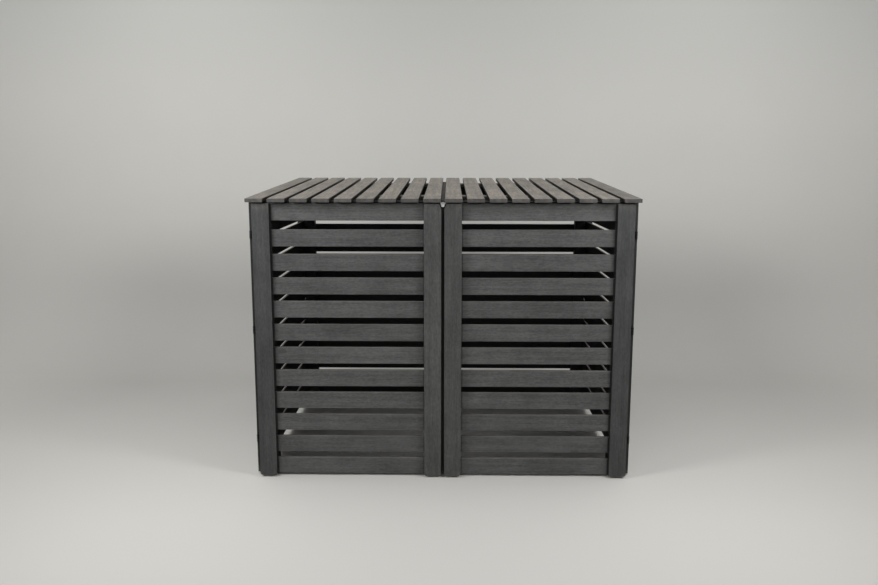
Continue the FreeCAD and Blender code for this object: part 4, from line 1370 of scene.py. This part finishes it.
@dataclass
class CatchPlate:
    """The catch at the top of the centre post: a dull plate with a tongue between the doors, near white as
    a painted glint of bright metal.

    Attributes:
        arm: Width and height of the arm that reaches forward between the slats.
        reach: How far the arm stands out of the plate.
        head: Width, depth and height of the head between the stiles' cut corners.
        foot: Share of its width that is left at the head's foot.
        drop: Distance from the plate's top edge to the tongue's.
        rounding: Radius of its edges.
        thin_share: The most of a slab's thinnest side that a rounding takes.
        steps: Faces across a rounded edge.
    """

    arm: tuple[float, float] = (0.0096, 0.0140)
    reach: float = 0.0220
    head: tuple[float, float, float] = (0.0215, 0.0100, 0.0172)
    foot: float = 0.42
    drop: float = 0.0020
    rounding: float = 0.0008
    thin_share: float = 0.3
    steps: int = 3

    node = "catch_plate"
    body = "frame"

    def make(self, nodes: Nodes) -> None:
        """Builds the plate and its tongue in the node's place.

        Args:
            nodes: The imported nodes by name.
        """
        low, high = box_of(solids_of(nodes[self.node])[0])
        top = high.z - self.drop
        plate = self.slab((low + high) / 2, high - low)
        arm_width, arm_height = self.arm
        arm = self.slab(Vector((0.0, low.y - self.reach / 2, top - arm_height / 2)),
                        Vector((arm_width, self.reach + 2 * self.rounding, arm_height)))
        head_size = Vector(self.head)
        head_middle = Vector((0.0, low.y - self.reach - head_size.y / 2, top - head_size.z / 2))
        head = self.slab(head_middle, head_size, self.foot)
        for part in (arm, head):
            for face in part.polygons:
                face.material_index = 1
        # The tongue's near-white colour is a painted glint.
        piece = placed(gathered(f"{self.node}_tongue", [plate, arm, head]), DULL_PLATE, TONGUE_PAINTED_GLINT)
        stand_in(piece, self.node, self.body)
        LOG.info("%s: plate and tongue", piece.name)

    def slab(self, middle: Vector, size: Vector, foot: float = 1.0) -> bpy.types.Mesh:
        """Makes a rounded slab.

        Args:
            middle: Its middle.
            size: Its three sides.
            foot: The share of its width that is left at its foot.

        Returns:
            Its mesh.
        """
        metal = bmesh.new()
        bmesh.ops.create_cube(metal, size=1.0)
        for corner in metal.verts:
            if corner.co.z < 0.0:
                corner.co.x *= foot
        bmesh.ops.scale(metal, verts=metal.verts, vec=size)
        bevel(metal, metal.edges, min(self.rounding, min(size) * self.thin_share), self.steps)
        bmesh.ops.translate(metal, verts=metal.verts, vec=middle)
        return as_mesh(metal, "slab")


@dataclass
class Lid:
    """One lid: slats from front to rear on two battens."""

    side: Side

    def make(self, nodes: Nodes) -> None:
        """Builds the lid's slats and battens.

        Args:
            nodes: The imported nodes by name.
        """
        body = self.side.named("lid")
        for part, along, across in (("lid_slats", Axis.LID, Axis.ACROSS),
                                    ("lid_battens", Axis.ACROSS, Axis.LID)):
            Timber(self.side.named(part), body, LID_STAIN, along, across, lid_painted_shade,
                   slot=Slot.LID_BOARDS).make(nodes)


@dataclass
class Fittings:
    """Hinges, pins, the catch plate, its keepers and all the screws."""

    wood_head: ScrewHead
    plate_head: ScrewHead

    def make(self, nodes: Nodes) -> None:
        """Dresses the metal and puts the screws in.

        Args:
            nodes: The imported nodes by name.
        """
        hinges = ["frame_hinge_leaves", "hinge_pins"]
        hinges += [side.named(part) for side in Side for part in ("door_hinge_leaves", "lid_hinge_leaves")]
        for node in hinges:
            self.dress(nodes[node], HINGE_BLACK)
        CatchPlate().make(nodes)
        for side in Side:
            self.dress(nodes[side.named("door_keeper")], BRIGHT_ZINC)
        bodies = {"frame_screws": "frame"}
        bodies.update({side.named(f"{part}_screws"): side.named(part)
                       for side in Side for part in ("door", "lid")})
        for node, body in bodies.items():
            Screws(node, body, self.wood_head, self.plate_head).make(nodes)

    @staticmethod
    def dress(piece: bpy.types.Object, finish: MetalFinish) -> None:
        """Puts a finish in the material slots of a node whose solid stays.

        Args:
            piece: The node's object.
            finish: The finish.
        """
        slots = piece.data.materials
        if not slots:
            slots.append(None)
        for place in range(len(slots)):
            slots[place] = finish.material()
        LOG.info("%s: finished", piece.name)


@dataclass(frozen=True)
class Paper(Finish):
    """Plain matt paper, seen through from behind so that the store shows from every side.

    Its colours are those of the floor, of the cove behind the store, darker there as painted shade of the
    store, of the wall, lighter at middle height as painted light, and of the wall high up. Each pair of
    places is where
    one turns into the next: towards the rear, to either side, and twice upwards.
    """

    name: str = "backdrop_paper"
    floor: Colour = shown(231, 229, 224)
    # The cove's colour is painted shade near the store; the wall's, lighter than the wall high up, is
    # painted light at middle height.
    cove: Colour = shown(206, 205, 201)
    wall: Colour = shown(241, 240, 235)
    high: Colour = shown(225, 225, 221)
    rearward: tuple[float, float] = (-0.6, 0.95)
    outward: tuple[float, float] = (1.7, 2.9)
    lifted: tuple[float, float] = (0.35, 0.9)
    upward: tuple[float, float] = (1.5, 2.4)
    cloud_scale: float = 1.4
    cloud_share: float = 0.12

    def surface(self, graph: Graph) -> Socket:
        """Builds the paper's shades and clouds.

        Args:
            graph: The material's tree.

        Returns:
            The shader's output.
        """
        position = graph.coordinate("Object")
        place = graph.parts(position)
        outward = graph.span(graph.math("ABSOLUTE", place["X"]), *self.outward, smooth=True)
        paper = graph.blend(outward, self.cove, self.floor)
        paper = graph.blend(graph.span(place["Z"], *self.lifted, smooth=True), paper, self.wall)
        paper = graph.blend(graph.span(place["Z"], *self.upward, smooth=True), paper, self.high)
        paper = graph.blend(graph.span(place["Y"], *self.rearward, smooth=True), self.floor, paper)
        cloud = graph.noise(position, self.cloud_scale, detail=3.0)
        cloud = graph.span(cloud, *NARROW_MIDDLE, 0.0, self.cloud_share)
        matt = graph.add("BsdfDiffuse", {"Color": graph.blend(cloud, paper, self.high)}).outputs[0]
        clear = graph.add("BsdfTransparent").outputs[0]
        behind = graph.add("NewGeometry").outputs["Backfacing"]
        return graph.add("MixShader", {0: behind, 1: matt, 2: clear}).outputs[0]


@dataclass(frozen=True)
class Lamp:
    """A soft rectangular lamp that the camera doesn't see, with its power in watts."""

    name: str
    spot: Spot
    aim: Spot
    size: tuple[float, float]
    power: float

    def hang(self) -> None:
        """Adds the lamp to the scene."""
        light = bpy.data.lights.new(self.name, "AREA")
        light.shape = "RECTANGLE"
        light.size, light.size_y = self.size
        light.energy = self.power
        lamp = bpy.data.objects.new(self.name, light)
        lamp.location = self.spot
        lamp.rotation_euler = (Vector(self.aim) - Vector(self.spot)).to_track_quat("-Z", "Y").to_euler()
        lamp.visible_camera = False
        bpy.context.scene.collection.objects.link(lamp)


LAMPS = (
    Lamp("left_lamp", (-1.6, 0.3, 3.2), (-0.2, 0.0, 1.0), (2.0, 1.6), 9.5),
    Lamp("right_lamp", (1.6, 0.3, 3.2), (0.2, 0.0, 1.0), (2.0, 1.6), 9.0),
    Lamp("left_wall_lamp", (-2.6, -0.3, 3.0), (-2.5, 1.75, 1.0), (1.6, 1.2), 18.0),
    Lamp("right_wall_lamp", (2.6, -0.3, 3.0), (2.5, 1.75, 1.0), (1.6, 1.2), 16.0),
    Lamp("front_lamp", (-0.6, -4.4, 2.2), (0.0, -0.5, 0.7), (3.2, 1.6), 20.0),
    Lamp("left_near_lamp", (-1.35, -1.45, 1.7), (-0.2, -0.5, 0.7), (0.6, 0.9), 14.5),
    Lamp("right_near_lamp", (1.35, -1.45, 1.7), (0.2, -0.5, 0.7), (0.6, 0.9), 14.0),
)


@dataclass
class Studio:
    """The pale floor that curves up into a backdrop, the soft lamps and the camera.

    Places and lengths are in metres. The camera's turns are in degrees: down, to the left and
    tipped. Its sensor and lens are in millimetres.
    """

    half_width: float = 7.0
    front: float = -7.0
    cove_start: float = 0.95
    cove_radius: float = 0.8
    cove_steps: int = 24
    top: float = 4.5
    paper: Paper = Paper()
    air_strength: float = 0.15
    camera_spot: Spot = (0.027, -3.7054, 1.2885)
    camera_pitch: float = 9.472
    camera_yaw: float = 0.759
    camera_roll: float = 0.047
    sensor: float = 36.0
    lens: float = 33.42
    far: float = 60.0

    def make(self) -> None:
        """Builds the backdrop, lamps, world and camera."""
        self.backdrop()
        for lamp in LAMPS:
            lamp.hang()
        self.world()
        self.camera()

    def backdrop(self) -> None:
        """Sweeps one edge along the floor, up the curve and up the wall."""
        sweep = bmesh.new()
        ends = [sweep.verts.new((side * self.half_width, self.front, 0.0)) for side in (1.0, -1.0)]
        edge = [sweep.edges.new(ends)]
        edge = self.draw_on(sweep, edge, Vector((0.0, self.cove_start - self.front, 0.0)))
        turned = bmesh.ops.spin(
            sweep, geom=[*edge, *edge[0].verts], axis=(1.0, 0.0, 0.0), angle=math.pi / 2,
            cent=(0.0, self.cove_start, self.cove_radius), steps=self.cove_steps)
        edge = of_kind(turned["geom_last"], Edge)
        self.draw_on(sweep, edge, Vector((0.0, 0.0, self.top - self.cove_radius)))
        for face in sweep.faces:
            face.smooth = True
        placed(as_mesh(sweep, "backdrop"), self.paper)

    @staticmethod
    def draw_on(sweep: Shape, edge: list[Edge], step: Vector) -> list[Edge]:
        """Extrudes an edge.

        Args:
            sweep: The shape so far.
            edge: The edge.
            step: How far it is drawn, and which way.

        Returns:
            The new edge.
        """
        drawn = bmesh.ops.extrude_edge_only(sweep, edges=edge)["geom"]
        bmesh.ops.translate(sweep, verts=of_kind(drawn, Corner), vec=step)
        return of_kind(drawn, Edge)

    def world(self) -> None:
        """Sets even light from all round, with the paper's own shade for the camera."""
        world = bpy.data.worlds.new("studio_air")
        bpy.context.scene.world = world
        world.use_nodes = True
        graph = Graph(world.node_tree)
        air = graph.add("Background", {"Color": WHITE, "Strength": self.air_strength}).outputs[0]
        seen = graph.add("Background", {"Color": self.paper.high, "Strength": 1.0}).outputs[0]
        camera_ray = graph.add("LightPath").outputs["Is Camera Ray"]
        mix = graph.add("MixShader", {0: camera_ray, 1: air, 2: seen}).outputs[0]
        graph.add("OutputWorld", {"Surface": mix})

    def camera(self) -> None:
        """Sets the camera where the photograph was taken from."""
        data = bpy.data.cameras.new("camera")
        data.sensor_width = self.sensor
        data.lens = self.lens
        data.clip_end = self.far
        camera = bpy.data.objects.new("camera", data)
        turn = (Matrix.Rotation(math.radians(self.camera_yaw), 4, "Z")
                @ Matrix.Rotation(math.radians(90.0 - self.camera_pitch), 4, "X")
                @ Matrix.Rotation(math.radians(self.camera_roll), 4, "Z"))
        camera.matrix_world = Matrix.Translation(self.camera_spot) @ turn
        bpy.context.scene.collection.objects.link(camera)
        bpy.context.scene.camera = camera


def main() -> None:
    """Builds the store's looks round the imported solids, and the studio round the store."""
    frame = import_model()
    nodes = frame["nodes"]
    Studio().make()
    Carcase().make(nodes)
    for side in Side:
        Door(side).make(nodes)
    for side in Side:
        Lid(side).make(nodes)
    Fittings(
        wood_head=ScrewHead(radius=0.0040, crown=0.0006, recess=0.0021, depth=0.0012),
        plate_head=ScrewHead(radius=0.00275, crown=0.0, recess=0.0014, depth=0.0009),
    ).make(nodes)
    bpy.context.scene.view_settings.view_transform = "Standard"


if __name__ == "__main__":
    logging.basicConfig(level=logging.INFO, format="%(message)s", stream=sys.stdout)
    main()
